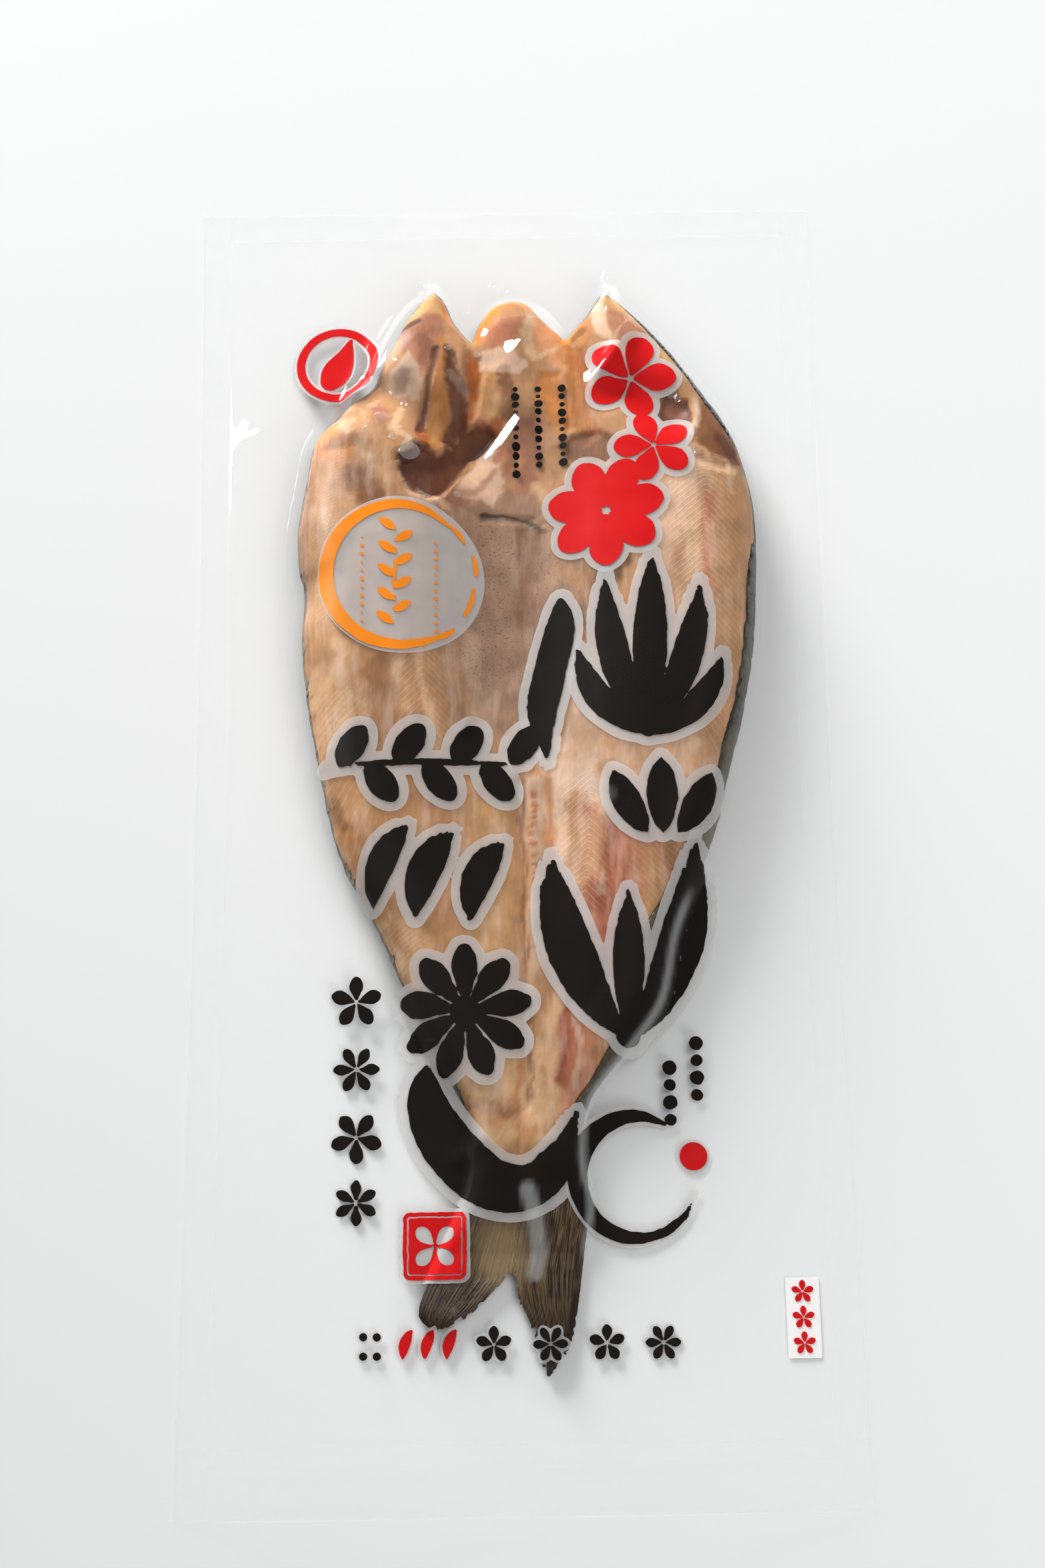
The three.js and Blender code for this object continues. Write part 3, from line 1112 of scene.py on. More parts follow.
DEPTH = HeightMap.of(FORM.depth)
PACK_TOP = HeightMap.of(FORM.top)
PACK_BOTTOM = HeightMap.of(FORM.bottom)
FOLDS = HeightMap.of(FILM.folds)


# --- The photo's camera ---

@dataclass(frozen=True)
class View:
    """The photo's camera, and where the places seen in the photo lie on the fish. It looks along
    an azimuth and an elevation at a target, rolled a little about its own axis."""

    width: float = 1568.0
    height: float = 2352.0
    target: Triple = (0.00297, 0.01051, 0.0)
    azimuth: float = -2.199
    elevation: float = 75.137
    roll: float = 1.350
    distance: float = 0.7403
    lens: float = 50.0
    sensor: float = 36.0
    under_film: float = 0.8

    def axes(self) -> tuple[Vector, Vector, Vector]:
        """The camera's unit vectors to the right, up and back.

        Returns:
            Three unit vectors.
        """
        az, el, roll = (math.radians(v) for v in (self.azimuth, self.elevation, self.roll))
        back = Vector((
            math.sin(az) * math.cos(el), -math.cos(az) * math.cos(el), math.sin(el),
        ))
        level = Vector((math.cos(az), math.sin(az), 0))
        right = level * math.cos(roll) + back.cross(level) * math.sin(roll)
        return right, back.cross(right), back

    def on_fish(self, pixels: Sequence[Point]) -> Array:
        """Where places seen in the photo lie on the flesh.

        The ray through each pixel is cut with a level plane, and the plane is then moved to the
        flesh's height at that cut, four times over.

        Args:
            pixels: Places in the photo, from its upper left corner.

        Returns:
            One row of x and y for each place, in mm.
        """
        right, up, back = (np.array(axis) for axis in self.axes())
        focal = self.lens / self.sensor * self.height
        seen = np.asarray(pixels, float)
        across = (seen[:, 0] - self.width / 2) / focal
        along = (self.height / 2 - seen[:, 1]) / focal
        ray = across[:, None] * right + along[:, None] * up - back
        eye = (np.array(self.target) + back * self.distance) / MM
        place = np.zeros((len(seen), 3))
        for _ in range(4):
            level = PACK_TOP(place[:, 0], place[:, 1]) - self.under_film
            place = eye + ((level - eye[2]) / ray[:, 2])[:, None] * ray
        return place[:, :2]


VIEW = View()


# --- The pouch's films ---

@dataclass(frozen=True)
class Region:
    """A soft patch along a bent line where a pattern or a haze shows."""

    path: tuple[Point, ...]
    width: float
    strength: float = 1.0

    def at(self, x: Array, y: Array) -> Array:
        """Strength of the pattern at each point."""
        return self.strength * smooth(1.6 - 1.6 * distance_to_path(x, y, self.path) / self.width)


def max_of(regions: Sequence[Region], x: Array, y: Array) -> Array:
    """The strongest of some regions at each point."""
    return np.max([region.at(x, y) for region in regions], axis=0)


# Milky folds of the film, and one patch of painted reflection.
MILKY_FOLDS_AND_GLARE: list[Region] = [
    Region(((2.4, -126), (4.6, -134), (6, -145), (4.6, -152)), 3.6, 0.22),
    # Painted reflection: a faint pale glare of the film over the right fillet, put in as haze.
    Region(((23, 8), (31, 2)), 4, 0.08),
    Region(((-36, 171), (-44, 160), (-50, 152)), 3, 0.2),
]


@dataclass
class Pouch:
    """Upper and lower film as one closed sleeve, with haze on the welds and along the edges."""

    form: PouchForm = FORM
    surface: FilmSurface = FILM
    pitch: float = 1.5
    edge_marks: tuple[float, ...] = (0.0, 0.35, 1.4, 3.2, 5.6, 8.0, 9.5, 10.0, 10.5, 11.2)
    weld_marks: tuple[float, ...] = (-1, -0.5, 0, 0.5, 1.5, 3.2, 5, 6, 6.5, 7, 7.6)
    weld_haze: float = 0.05
    edge_haze: float = 0.07
    body_haze: float = 0.006
    # Strength of the painted reflection along the fish's right border.
    crease_sheen_haze: float = 0.25
    lower_shine: float = 0.35

    def columns(self) -> Array:
        """Column places from -1 to 1 across, crowded at the side welds.

        Returns:
            Shares of half the width.
        """
        half = self.form.width / 2
        marks = np.array(self.edge_marks)
        inner = half - marks[-1]
        middle = np.linspace(-inner, inner, int(2 * inner / self.pitch) + 1)[1:-1]
        return np.concatenate([-(half - marks), middle, (half - marks)[::-1]]) / half

    def rows(self) -> Array:
        """Row places from foot to top, crowded at the foot and top welds.

        Returns:
            Y of each row, in mm.
        """
        marks = np.array(self.edge_marks)
        foot, top = self.form.foot, self.form.head
        weld = self.form.seal_foot + np.array(self.weld_marks)
        flap = np.linspace(foot, weld[0], 11)
        low = np.concatenate([flap[:1], flap[:1] + marks[1:3], flap[2:-1], weld])
        high = top - marks[::-1]
        middle = np.linspace(low[-1], high[0], int((high[0] - low[-1]) / self.pitch) + 1)[1:-1]
        return np.concatenate([low, middle, high])

    def haze(self, x: Array, y: Array) -> Array:
        """Milkiness of the film: on the welds, strongest on the cut edges and weld lines, and as painted
        reflection in places.

        Args:
            x, y: Places, in mm.

        Returns:
            Haze from 0 to 1.
        """
        from_side = self.form.side_at(y) - np.abs(x)
        from_top = self.form.head - y
        from_foot = y - self.form.foot
        edge = np.minimum(np.minimum(from_side, from_top), from_foot)
        on_side = np.minimum(from_side, from_top) < self.form.side_seal
        on_foot = (y > self.form.seal_foot) & (y < self.form.seal_top)
        haze = np.full(x.shape, self.body_haze)
        haze = np.where(on_side | on_foot, self.weld_haze * 0.35, haze)
        seal = self.form.side_seal
        line = np.minimum(np.abs(from_side - seal), np.abs(from_top - seal))
        foot_line = np.minimum(np.abs(y - self.form.seal_foot), np.abs(y - self.form.seal_top))
        line = np.where(from_foot > self.form.foot_flap, np.minimum(line, foot_line), 9.0)
        haze = np.maximum(haze, self.weld_haze * smooth(1 - line / 0.8))
        haze = np.maximum(haze, self.edge_haze * smooth(1 - edge / 0.7))
        # Painted reflection: a milky band along the fish's right border, where the film bends off the
        # fish; partly the film's crease, partly its sheen painted in as haze.
        crease_sheen = smooth(1 - np.abs(DEPTH(x, y)) / 2.2) * smooth((x - 12) / 6)
        crease_sheen = crease_sheen * smooth((-26 - y) / 10) * smooth((y + 150) / 8)
        milky_and_glare = max_of(MILKY_FOLDS_AND_GLARE, x, y)
        return np.maximum(haze, np.maximum(self.crease_sheen_haze * crease_sheen, milky_and_glare))

    def crinkle(self, x: Array, y: Array) -> Array:
        """How finely crinkled the film is: along the fish's rim, below the shoulders.

        Args:
            x, y: Places, in mm.

        Returns:
            Crinkle from 0 to 1.
        """
        depth = DEPTH(x, y)
        rim = smooth((depth + 6) / 6) * smooth((24 - depth) / 8)
        return rim * smooth((146 - y) / 12) * smooth((y + 130) / 20)

    def shape(self) -> tuple[Shape, Array]:
        """The sleeve's shape, and the haze at each of its points.

        Returns:
            The shape and its haze.
        """
        rows, share = self.rows(), self.columns()
        y = np.repeat(rows[:, None], len(share), axis=1)
        x = share[None, :] * self.form.side_at(rows)[:, None]
        upper = np.stack([x, y, self.surface(x, y)], axis=-1).reshape(-1, 3)
        lower = np.stack([x, y, self.form.bottom(x, y)], axis=-1).reshape(-1, 3)
        face = split_quads(grid_quads(len(rows), len(share)))
        haze = self.haze(x, y).ravel()
        return closed(upper, lower, face, False), np.concatenate([haze, haze])

    def build(self) -> Piece:
        """Makes the film and lets it stand for the frame's pouch.

        Returns:
            The film.
        """
        shape, haze = self.shape()
        x, y = shape.points[:, 0], shape.points[:, 1]
        upper = np.arange(len(x)) < len(x) // 2
        depth = DEPTH(x, y)
        band = smooth((depth + 10) / 4) * smooth((np.where(x > 20, 6.5, 1.5) - depth) / 2)
        fold = np.clip(FOLDS(x, y) - 0.4, 0, 1)
        crinkle = self.crinkle(x, y)
        shine = (1 - 0.8 * band * (1 - fold)) * (1 - 0.6 * crinkle)
        film = make_piece("film", shape, FilmFinish().build(), "film", haze=haze,
                          shine=np.where(upper, shine, self.lower_shine), crinkle=crinkle)
        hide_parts(NODE)
        return film


# --- The fish ---
# Inner side of the dark back skin, which is also the flesh's right edge, from head to tail.
FLESH_RIGHT: list[Point] = [
    (31, 197), (42, 184), (53, 169.6), (61, 158.5), (68, 147), (74, 138), (79.6, 128), (84.4, 114),
    (85.4, 103), (83.8, 92), (81.6, 80), (80.2, 64), (78, 47.2), (75.6, 36), (71.4, 22.6), (68, 9),
    (63, -3), (58.4, -15.2), (50.6, -30), (42.4, -42.8), (37, -60), (31.2, -79.4), (28, -84.5),
    (23.2, -92.5), (18.6, -99), (17.4, -112), (18.2, -124), (19, -142),
]


@dataclass(frozen=True)
class Stain:
    """A patch of colour along a bent line: full on the line, faded out at its width."""

    colour: Colour
    path: tuple[Point, ...]
    width: float
    strength: float = 0.8
    rough: float = 0.45

    def share(self, x: Array, y: Array, cloud: Array) -> Array:
        """How much of the patch's colour shows: strength times an ease of 1.5 - 1.5 d / width.

        Args:
            x, y: Places, in mm.
            cloud: Cloud noise there.

        Returns:
            The share, from 0 to 1.
        """
        distance = distance_to_path(x, y, self.path)
        distance = distance + (cloud - 0.5) * 2 * self.rough * self.width
        return self.strength * smooth(1.5 - 1.5 * distance / self.width)


TAN = srgb(196, 158, 122)
CREAM = srgb(232, 205, 172)
WHITE_PINK = srgb(238, 214, 196)
GREY_PINK = srgb(156, 136, 126)
MAUVE = srgb(180, 132, 112)
WINE = srgb(112, 70, 58)
RUST = srgb(180, 100, 44)
AMBER = srgb(226, 150, 72)
OCHRE = srgb(120, 86, 44)
BROWN = srgb(128, 86, 58)
UMBER = srgb(78, 52, 38)
BLOOD = srgb(142, 62, 48)
ROSE = srgb(196, 134, 108)
GOLD = srgb(206, 160, 104)
SOOT = srgb(58, 50, 46)
PEARL = srgb(214, 196, 180)
PEACH = srgb(222, 164, 122)
HONEY = srgb(190, 138, 84)
STRAW = srgb(216, 182, 132)

STAINS: list[Stain] = [
    # Broad fields.
    Stain(GOLD, ((-70, 60), (-66, 10), (-50, -34), (-30, -78), (-10, -112), (4, -126)), 26, 0.55),
    Stain(GREY_PINK, ((-6, 92), (0, 70), (2, 46)), 34, 0.75, 0.3),
    Stain(WHITE_PINK, ((58, 114), (60, 88), (58, 60), (55, 30), (48, 6)), 20, 0.4),
    Stain(WHITE_PINK, ((50, 108), (58, 98), (60, 112)), 9, 0.7),
    Stain(BROWN, ((66, 112), (63, 92), (58, 84)), 5, 0.4),
    Stain(TAN, ((74, 112), (77, 88), (74, 56), (68, 24)), 9, 0.7),
    Stain(ROSE, ((68, 108), (67.5, 86), (66, 64), (63, 46), (61, 30)), 3.2, 0.75),
    Stain(CREAM, ((62, 108), (62, 84), (60, 62), (57, 44)), 4.2, 0.6),
    Stain(CREAM, ((-50, 118), (-56, 96), (-60, 70)), 10, 0.35),
    Stain(AMBER, ((-64, 134), (-60, 126)), 9, 0.55),
    Stain(BROWN, ((-53, 116), (-47, 108)), 7, 0.85),
    Stain(CREAM, ((-54, 136), (-50, 128)), 6, 0.7),
    Stain(MAUVE, ((-20, 112), (-10, 113)), 5, 0.6),
    Stain(BROWN, ((-69.5, 128), (-70, 108), (-71, 84), (-70.5, 52)), 2.6, 0.45),
    # Left fillet.
    Stain(CREAM, ((-58, 54), (-57.5, 44), (-56, 26)), 4.5, 0.75),
    Stain(CREAM, ((-66, 46), (-62, 22)), 5, 0.5),
    Stain(BROWN, ((-45, 48), (-44, 30), (-42, 22)), 6, 0.45),
    Stain(CREAM, ((-31, 52), (-30.5, 40), (-29, 28)), 2.2, 0.7),
    Stain(CREAM, ((-39, 48), (-37, 32)), 2.0, 0.4),
    Stain(PEARL, ((-16, 60), (-12, 40), (-10, 26)), 5, 0.35),
    Stain(HONEY, ((-59, -4), (-55, -12), (-51, -20)), 5.5, 0.6),
    Stain(BROWN, ((-61, 2), (-57, -6)), 4, 0.55),
    Stain(TAN, ((-52, -4), (-50, -12), (-46, -20)), 4.5, 0.6),
    Stain(BROWN, ((-37, -28), (-39, -38), (-36, -46)), 4.5, 0.35),
    Stain(CREAM, ((-43, -42), (-38, -52), (-33, -60)), 3.2, 0.35),
    Stain(RUST, ((-30, -74), (-22, -86)), 4, 0.35),
    Stain(STRAW, ((-8, 2), (-7, -40), (-6, -78)), 10, 0.55),
    Stain(CREAM, ((-22, -92), (-4, -90)), 8, 0.45),
    Stain(CREAM, ((-36, -40), (-30, -52)), 5, 0.4),
    Stain(PEARL, ((-8, -82), (-9, -92), (-7, -100)), 2.4, 0.6),
    Stain(CREAM, ((-12, -108), (-4, -109)), 6, 0.6),
    Stain(GOLD, ((-16, -104), (-14, -116)), 6, 0.6),
    Stain(BROWN, ((-14, -98), (-4, -99), (4, -100)), 3.4, 0.4),
    Stain(CREAM, ((5, -80), (3.5, -94), (4, -104)), 4, 0.6),
    Stain(RUST, ((1, -70), (1, -96), (3, -110)), 1.4, 0.4),
    # Seam, fin base and the lines beside them.
    Stain(BROWN, ((3.2, 6), (3.2, -30), (3, -62), (4, -96)), 1.0, 0.55),
    Stain(PEARL, ((7.2, 8), (7.2, -56)), 3.4, 0.6),
    Stain(CREAM, ((12, -66), (11, -84), (9, -112)), 4, 0.5),
    Stain(PEACH, ((11, 6), (11.4, -20), (11.8, -52)), 2.6, 0.6),
    Stain(WHITE_PINK, ((14.8, 18), (14.8, 4), (15.4, -10), (15.6, -26)), 3.6, 0.8),
    *[Stain(RUST, ((5.6 + 0.08 * i, 4 - 3 * i),), 1.3, 0.75) for i in range(18)],
    Stain(ROSE, ((25, 2), (25, -16), (24, -30)), 6, 0.6),
    # Right fillet under the black marks.
    Stain(WHITE_PINK, ((8, 24), (13, 18), (16, 8), (22, 11), (30, 3)), 7, 0.85),
    Stain(PEARL, ((22, 30), (24, 10)), 8, 0.45),
    Stain(PEARL, ((32, 2), (33, -6)), 5, 0.7),
    Stain(BLOOD, ((34, -11), (34, -20), (30, -29), (28, -40), (23, -54)), 7.5, 0.95),
    Stain(ROSE, ((40, -10), (34, -34), (28, -46)), 12, 0.7),
    Stain(PEARL, ((28.5, -24), (27.5, -30)), 2.0, 0.6),
    Stain(BLOOD, ((21, -62), (18, -72), (16, -80), (14, -90)), 5.2, 0.9),
    Stain(ROSE, ((22, -68), (20, -82), (17, -98), (15, -110)), 7, 0.75),
    Stain(PEARL, ((20, -66), (19, -80), (17.5, -92)), 1.5, 0.6),
    Stain(CREAM, ((24, -8), (22, -22)), 6, 0.4),
    Stain(TAN, ((44, -8), (44, -30), (38, -48)), 7, 0.6),
    Stain(BROWN, ((58, -6), (52, -20)), 6, 0.5),
    Stain(GOLD, ((30, -60), (26, -74)), 6, 0.5),
    Stain(BROWN, ((73, 18), (68, 2), (60, -10)), 5, 0.5),
    # Peritoneum's top edge and the bile stain.
    Stain(SOOT, ((-9, 103.5), (-2, 104.4), (5, 103.4), (11, 99)), 1.3, 0.8, 0.8),
    Stain(BROWN, ((6, 98), (5, 84), (5, 66)), 4.5, 0.45),
    Stain(OCHRE, ((37, 86), (31.5, 78), (31, 69), (35, 62)), 5.5, 0.95),
    Stain(RUST, ((28, 60), (34, 52)), 4, 0.4),
    Stain(UMBER, ((28, 84), (27, 72), (27, 60)), 7, 0.35),
    # The head tissue's lower edge.
    Stain(CREAM, ((-38, 128), (-37, 118), (-31, 111), (-21, 107)), 1.8, 0.75),
    Stain(TAN, ((12, 124), (18, 110)), 9, 0.6),
    Stain(CREAM, ((10, 116), (14, 106)), 3, 0.5),
    Stain(CREAM, ((47, 131), (58, 127), (69, 122.5)), 2.4, 0.7),
    Stain(BROWN, ((50, 121), (62, 119), (72, 117)), 3.0, 0.35),
]


@dataclass(frozen=True)
class Mark:
    """A part of the head's tissue, or a painted shade or sheen on it, named, and placed in the photo's
    pixels.
    """

    name: str
    colour: Colour
    pixels: tuple[Point, ...]
    width: float
    strength: float = 0.9
    sink: float = 0.0

    def share(self, x: Array, y: Array, cloud: Array | float) -> Array:
        """How much of it shows: its strength, eased to 0 over its width in mm and moved in and
        out by a cloud."""
        away = self.away(x, y, VIEW.on_fish(self.pixels), 1.4 * self.width)
        return self.strength * smooth(1 - away - (cloud - 0.5) * 1.2)


class Patch(Mark):
    """A mark that fills the outline through its pixels."""

    def away(self, x: Array, y: Array, path: Array, soft: float) -> Array:
        """How far outside it a point is, from 0 to 1 across the soft border."""
        return 0.5 - signed_depth(x, y, path) / soft


class Cord(Mark):
    """A mark that runs along its pixels."""

    def away(self, x: Array, y: Array, path: Array, soft: float) -> Array:
        """How far from its line a point is, from 0 to 1 across the soft border."""
        return 1.5 * distance_to_path(x, y, path) / soft - 0.5


# Most marks are the tissue's own colours; the hollows also hold painted shade, and two pale marks are
# painted sheen.
HEAD_MARKS: list[Mark] = [
    # Jaw and throat.
    Patch("throat", TAN, ((700, 520), (745, 455), (800, 455), (850, 520), (865, 600), (860, 660),
        (800, 720), (740, 700), (700, 660)), 3),
    Patch("left throat muscle", RUST, ((698, 520), (722, 540), (726, 560), (722, 590), (716, 620),
        (700, 650), (690, 640), (694, 600), (696, 560)), 2, 0.9, 1.2),
    Cord("left cord", GOLD, ((738, 560), (724, 590), (716, 615)), 2.4, 0.8),
    Cord("left cord's light", STRAW, ((746, 596), (736, 632)), 1.8, 0.8),
    Cord("middle cord", BROWN, ((757, 560), (766, 590), (762, 622)), 2.6, 0.75, 0.6),
    Cord("low cord", RUST, ((745, 640), (720, 650), (704, 660)), 2.6, 0.8),
    Patch("pale tongue", WHITE_PINK, ((722, 528), (745, 520), (770, 530), (792, 545), (780, 562),
        (750, 558), (722, 556)), 1.4),
    Patch("jaw dome", ROSE, ((728, 505), (745, 480), (770, 474), (788, 480), (776, 502), (755, 516),
        (735, 522)), 1.8),
    Cord("dome's shade", MAUVE, ((760, 482), (785, 484)), 2.6, 0.8),
    Cord("jaw rim", AMBER, ((711, 508), (722, 482), (745, 456), (775, 449), (800, 458)), 3.6, 0.95),
    Cord("jaw fold", CREAM, ((800, 482), (790, 504), (796, 530)), 2.4, 0.8),
    Patch("right jaw", PEACH, ((800, 470), (825, 490), (845, 515), (860, 530), (852, 560), (830, 548),
        (806, 524)), 2),
    Cord("right jaw rim", AMBER, ((806, 468), (832, 494), (850, 514)), 1.8, 0.85),
    Cord("right jaw's light", CREAM, ((800, 540), (832, 522)), 1.4, 0.7),
    Cord("grainy corner", HONEY, ((850, 526), (868, 545), (856, 580)), 4, 0.85),
    Patch("right throat muscle", AMBER, ((810, 560), (840, 560), (852, 600), (862, 640), (842, 652),
        (820, 620), (808, 590)), 2.4, 0.75, 0.8),
    # Partly the tissue's own rust colour, partly painted shade in the hollow.
    Patch("right throat hollow", RUST, ((852, 520), (872, 524), (892, 545), (884, 590), (888, 625),
        (902, 650), (882, 662), (862, 640), (858, 600)), 2.4, 0.55, 1.4),
    Cord("hollow's light", HONEY, ((862, 560), (868, 610), (872, 640)), 2, 0.6),
    Patch("right gill root", WINE, ((858, 655), (888, 648), (918, 655), (918, 692), (880, 702),
        (850, 692), (838, 672)), 2.4, 0.65, 1.4),
    Cord("throat skin", MAUVE, ((792, 640), (800, 700)), 5, 0.8),
    Cord("throat skin's light", TAN, ((822, 655), (832, 705)), 3.6, 0.7),
    # Left cheek.
    Patch("left cheek", TAN, ((650, 430), (672, 475), (700, 520), (700, 600), (680, 670), (640, 680),
        (600, 600), (565, 560), (600, 495)), 1.5, 1.0),
    Patch("left cheek muscle", MAUVE, ((612, 480), (640, 468), (662, 470), (668, 500), (655, 522),
        (642, 548), (630, 560), (612, 530), (588, 524), (600, 502)), 1.8, 0.9),
    Cord("cheek muscle's shade", WINE, ((632, 508), (640, 520), (634, 540)), 2.2, 0.4),
    Patch("left cheek rim", STRAW, ((650, 430), (662, 450), (674, 478), (656, 470), (630, 472),
        (614, 484), (604, 490), (624, 455), (640, 440)), 1.4),
    Cord("rim's olive edge", OCHRE, ((634, 448), (624, 462)), 1.4, 0.45),
    Cord("rim's amber edge", AMBER, ((664, 452), (674, 482), (684, 500)), 1.4, 0.9),
    Cord("left lip skin", SOOT, ((604, 493), (624, 481)), 1.3, 0.75),
    Cord("left tip skin", UMBER, ((634, 439), (649, 431)), 0.9, 0.8),
    Patch("cheek's low rim", GOLD, ((594, 508), (608, 508), (600, 532), (582, 562), (565, 558),
        (578, 532)), 1.4),
    Patch("gill plate", PEARL, ((614, 527), (628, 548), (633, 570), (629, 602), (610, 594), (596, 596),
        (578, 580), (584, 555), (600, 540)), 1.4),
    Cord("plate's middle", GREY_PINK, ((597, 580), (600, 566), (608, 556)), 2.2, 0.6),
    Patch("honey muscle", HONEY, ((655, 508), (668, 500), (669, 540), (669, 580), (677, 602), (673, 640),
        (661, 665), (650, 682), (640, 668), (634, 655), (640, 620), (645, 590), (648, 560), (652, 530)),
        1.2, 0.95),
    Cord("honey muscle's light", GOLD, ((650, 610), (655, 640), (650, 660)), 1.8, 0.7),
    Cord("honey muscle's end", RUST, ((630, 650), (638, 658)), 1.6, 0.8),
    Cord("dark seam", WINE, ((654, 524), (645, 560), (638, 600), (630, 645)), 1.3, 0.85, 0.8),
    # Partly the tissue's own colour, partly painted shade in the valley.
    Patch("cheek valley", WINE, ((669, 520), (682, 530), (691, 560), (697, 590), (701, 605), (700, 640),
        (682, 668), (664, 662), (677, 620), (677, 600), (669, 580)), 1.6, 0.9, 2.0),
    # Painted sheen: a pale grey streak across the dark cheek valley.
    Cord("valley's painted sheen", GREY_PINK, ((676, 555), (696, 588)), 1.6, 0.8),
    Patch("cheek's right rim", TAN, ((671, 480), (686, 495), (702, 512), (706, 522), (690, 532),
        (673, 512)), 1.2),
    # Under the left cheek.
    Patch("gill cover", TAN, ((566, 590), (600, 602), (626, 625), (616, 642), (602, 660), (590, 682),
        (556, 684), (526, 662), (520, 640), (540, 606)), 2, 0.95),
    Patch("cover's dark spot", MAUVE, ((560, 612), (572, 608), (584, 614), (586, 628), (576, 636),
        (562, 632)), 1),
    Cord("cover's strand", CREAM, ((600, 615), (590, 640), (606, 650)), 1.6, 0.8),
    Cord("cover's shade", BROWN, ((530, 656), (500, 668)), 3, 0.6),
    # Partly the tissue's own brown, partly painted shade inside the opening.
    Patch("dark opening", UMBER, ((592, 675), (605, 669), (626, 661), (629, 672), (621, 686), (608, 691),
        (597, 685)), 0.9, 1.0, 1.2),
    # Painted sheen: a pale grey gleam above the dark opening.
    Cord("opening's painted sheen", PEARL, ((612, 652), (621, 661), (604, 669)), 1.2, 0.9),
    # Left gill hollow and the membrane beside it. The hollow's dark red-brown is partly the tissue's own
    # and partly painted shade of its depth.
    Patch("left gill hollow", WINE, ((598, 690), (624, 660), (640, 667), (654, 682), (682, 662),
        (702, 642), (730, 640), (746, 652), (722, 682), (702, 692), (690, 712), (665, 742), (640, 746),
        (614, 732), (602, 710)), 1.8, 1.0, 2.6),
    Patch("hollow's lip", BROWN, ((700, 646), (728, 644), (738, 654), (716, 676), (692, 682), (682, 668)),
        1.6, 0.8),
    # Painted shade: a darker line deep in the left gill hollow.
    Cord("hollow's painted shade", UMBER, ((606, 696), (630, 690), (660, 700)), 2.6, 0.5),
    Cord("hollow's foot", BROWN, ((640, 725), (690, 705)), 3, 0.6),
    Patch("white membrane", WHITE_PINK, ((700, 712), (718, 690), (740, 668), (752, 672), (748, 700),
        (756, 730), (740, 760), (712, 752), (690, 742), (688, 724)), 1.8, 0.85),
    Cord("membrane's vein", ROSE, ((744, 690), (752, 675), (766, 684), (758, 706)), 1.6, 0.8),
    Cord("membrane's fold", MAUVE, ((696, 738), (712, 742), (740, 706)), 1.4, 0.6),
    Cord("membrane's light", CREAM, ((700, 720), (724, 706)), 1.4, 0.8),
    Patch("right of membrane", MAUVE, ((768, 660), (800, 660), (810, 700), (790, 740), (764, 740),
        (760, 700)), 2, 0.8),
    Cord("pale streak", TAN, ((776, 690), (770, 730)), 2, 0.8),
    # Right cheek.
    Patch("right cheek", TAN, ((893, 436), (945, 468), (1000, 520), (1050, 600), (1040, 660), (990, 670),
        (930, 660), (900, 600), (880, 530), (870, 480)), 1.6, 1.0),
    Patch("right cheek muscle", MAUVE, ((915, 466), (942, 466), (962, 482), (987, 520), (988, 548),
        (962, 524), (926, 512), (912, 490)), 1.8, 0.85),
    Patch("cheek's pale side", WHITE_PINK, ((893, 440), (905, 440), (912, 480), (916, 512), (896, 502),
        (885, 480)), 1.4, 0.9),
    Cord("right tip skin", UMBER, ((934, 468), (950, 472)), 1.0, 0.7),
    Patch("right cheek's corner", HONEY, ((876, 478), (890, 470), (890, 500), (881, 522), (862, 522),
        (852, 508)), 1.2),
    Cord("corner's olive edge", OCHRE, ((860, 508), (872, 496)), 1.6, 0.6),
    Cord("straw band", STRAW, ((912, 452), (950, 474), (986, 508), (1004, 545), (1024, 564)), 2.2, 0.85),
    # Partly the tissue's own dark red-brown, partly painted shade of the hollow's depth.
    Patch("right gill hollow", WINE, ((990, 592), (1012, 578), (1020, 600), (1031, 601), (1039, 630),
        (1031, 646), (1000, 651), (984, 632)), 1.2, 0.8, 2.0),
    Cord("right hollow's light", ROSE, ((1004, 612), (1018, 622)), 2.2, 0.5),
    Cord("right hollow's lip", PEARL, ((1043, 600), (1047, 626), (1036, 652), (1004, 666)), 1.4, 0.85),
    Patch("dark shoulder", BROWN, ((1050, 600), (1064, 604), (1092, 645), (1108, 695), (1082, 684),
        (1050, 668), (1040, 655), (1050, 630)), 1.8, 0.9, 0.6),
    Cord("shoulder's edge", WINE, ((1080, 655), (1098, 690)), 2, 0.8),
    Cord("shoulder's shade", MAUVE, ((1010, 672), (1050, 680)), 2.4, 0.5),
    Cord("fillet's pale top", CREAM, ((985, 668), (1030, 690), (1075, 700), (1100, 706)), 1.6, 0.75),
]


MUSCLE_REGIONS: list[Region] = [
    Region(((66, 112), (66, 60), (58, 10)), 17, 1.0),
    Region(((-32, 54), (-29, 26)), 11, 0.9),
    Region(((-58, 30), (-56, -10), (-34, -60)), 16, 0.55),
    Region(((22, 4), (24, -30)), 10, 0.8),
    Region(((48, -14), (34, -66)), 12, 0.6),
    Region(((-8, -74), (4, -110)), 14, 0.3),
    Region(((-62, 120), (-66, 70)), 12, 0.35),
]
SPECKLE_REGIONS: list[Region] = [
    Region(((-8, 94), (-10, 74), (-8, 52)), 17, 0.75),
    Region(((12, 92), (14, 70), (10, 52)), 15, 0.5),
]
MUSCLE_LINES: list[tuple[Point, Point]] = [
    ((67.5, 112), (61, 26)), ((-31, 60), (-29, 20)), ((26, 8), (22, -40)), ((16, -60), (12, -100)),
]

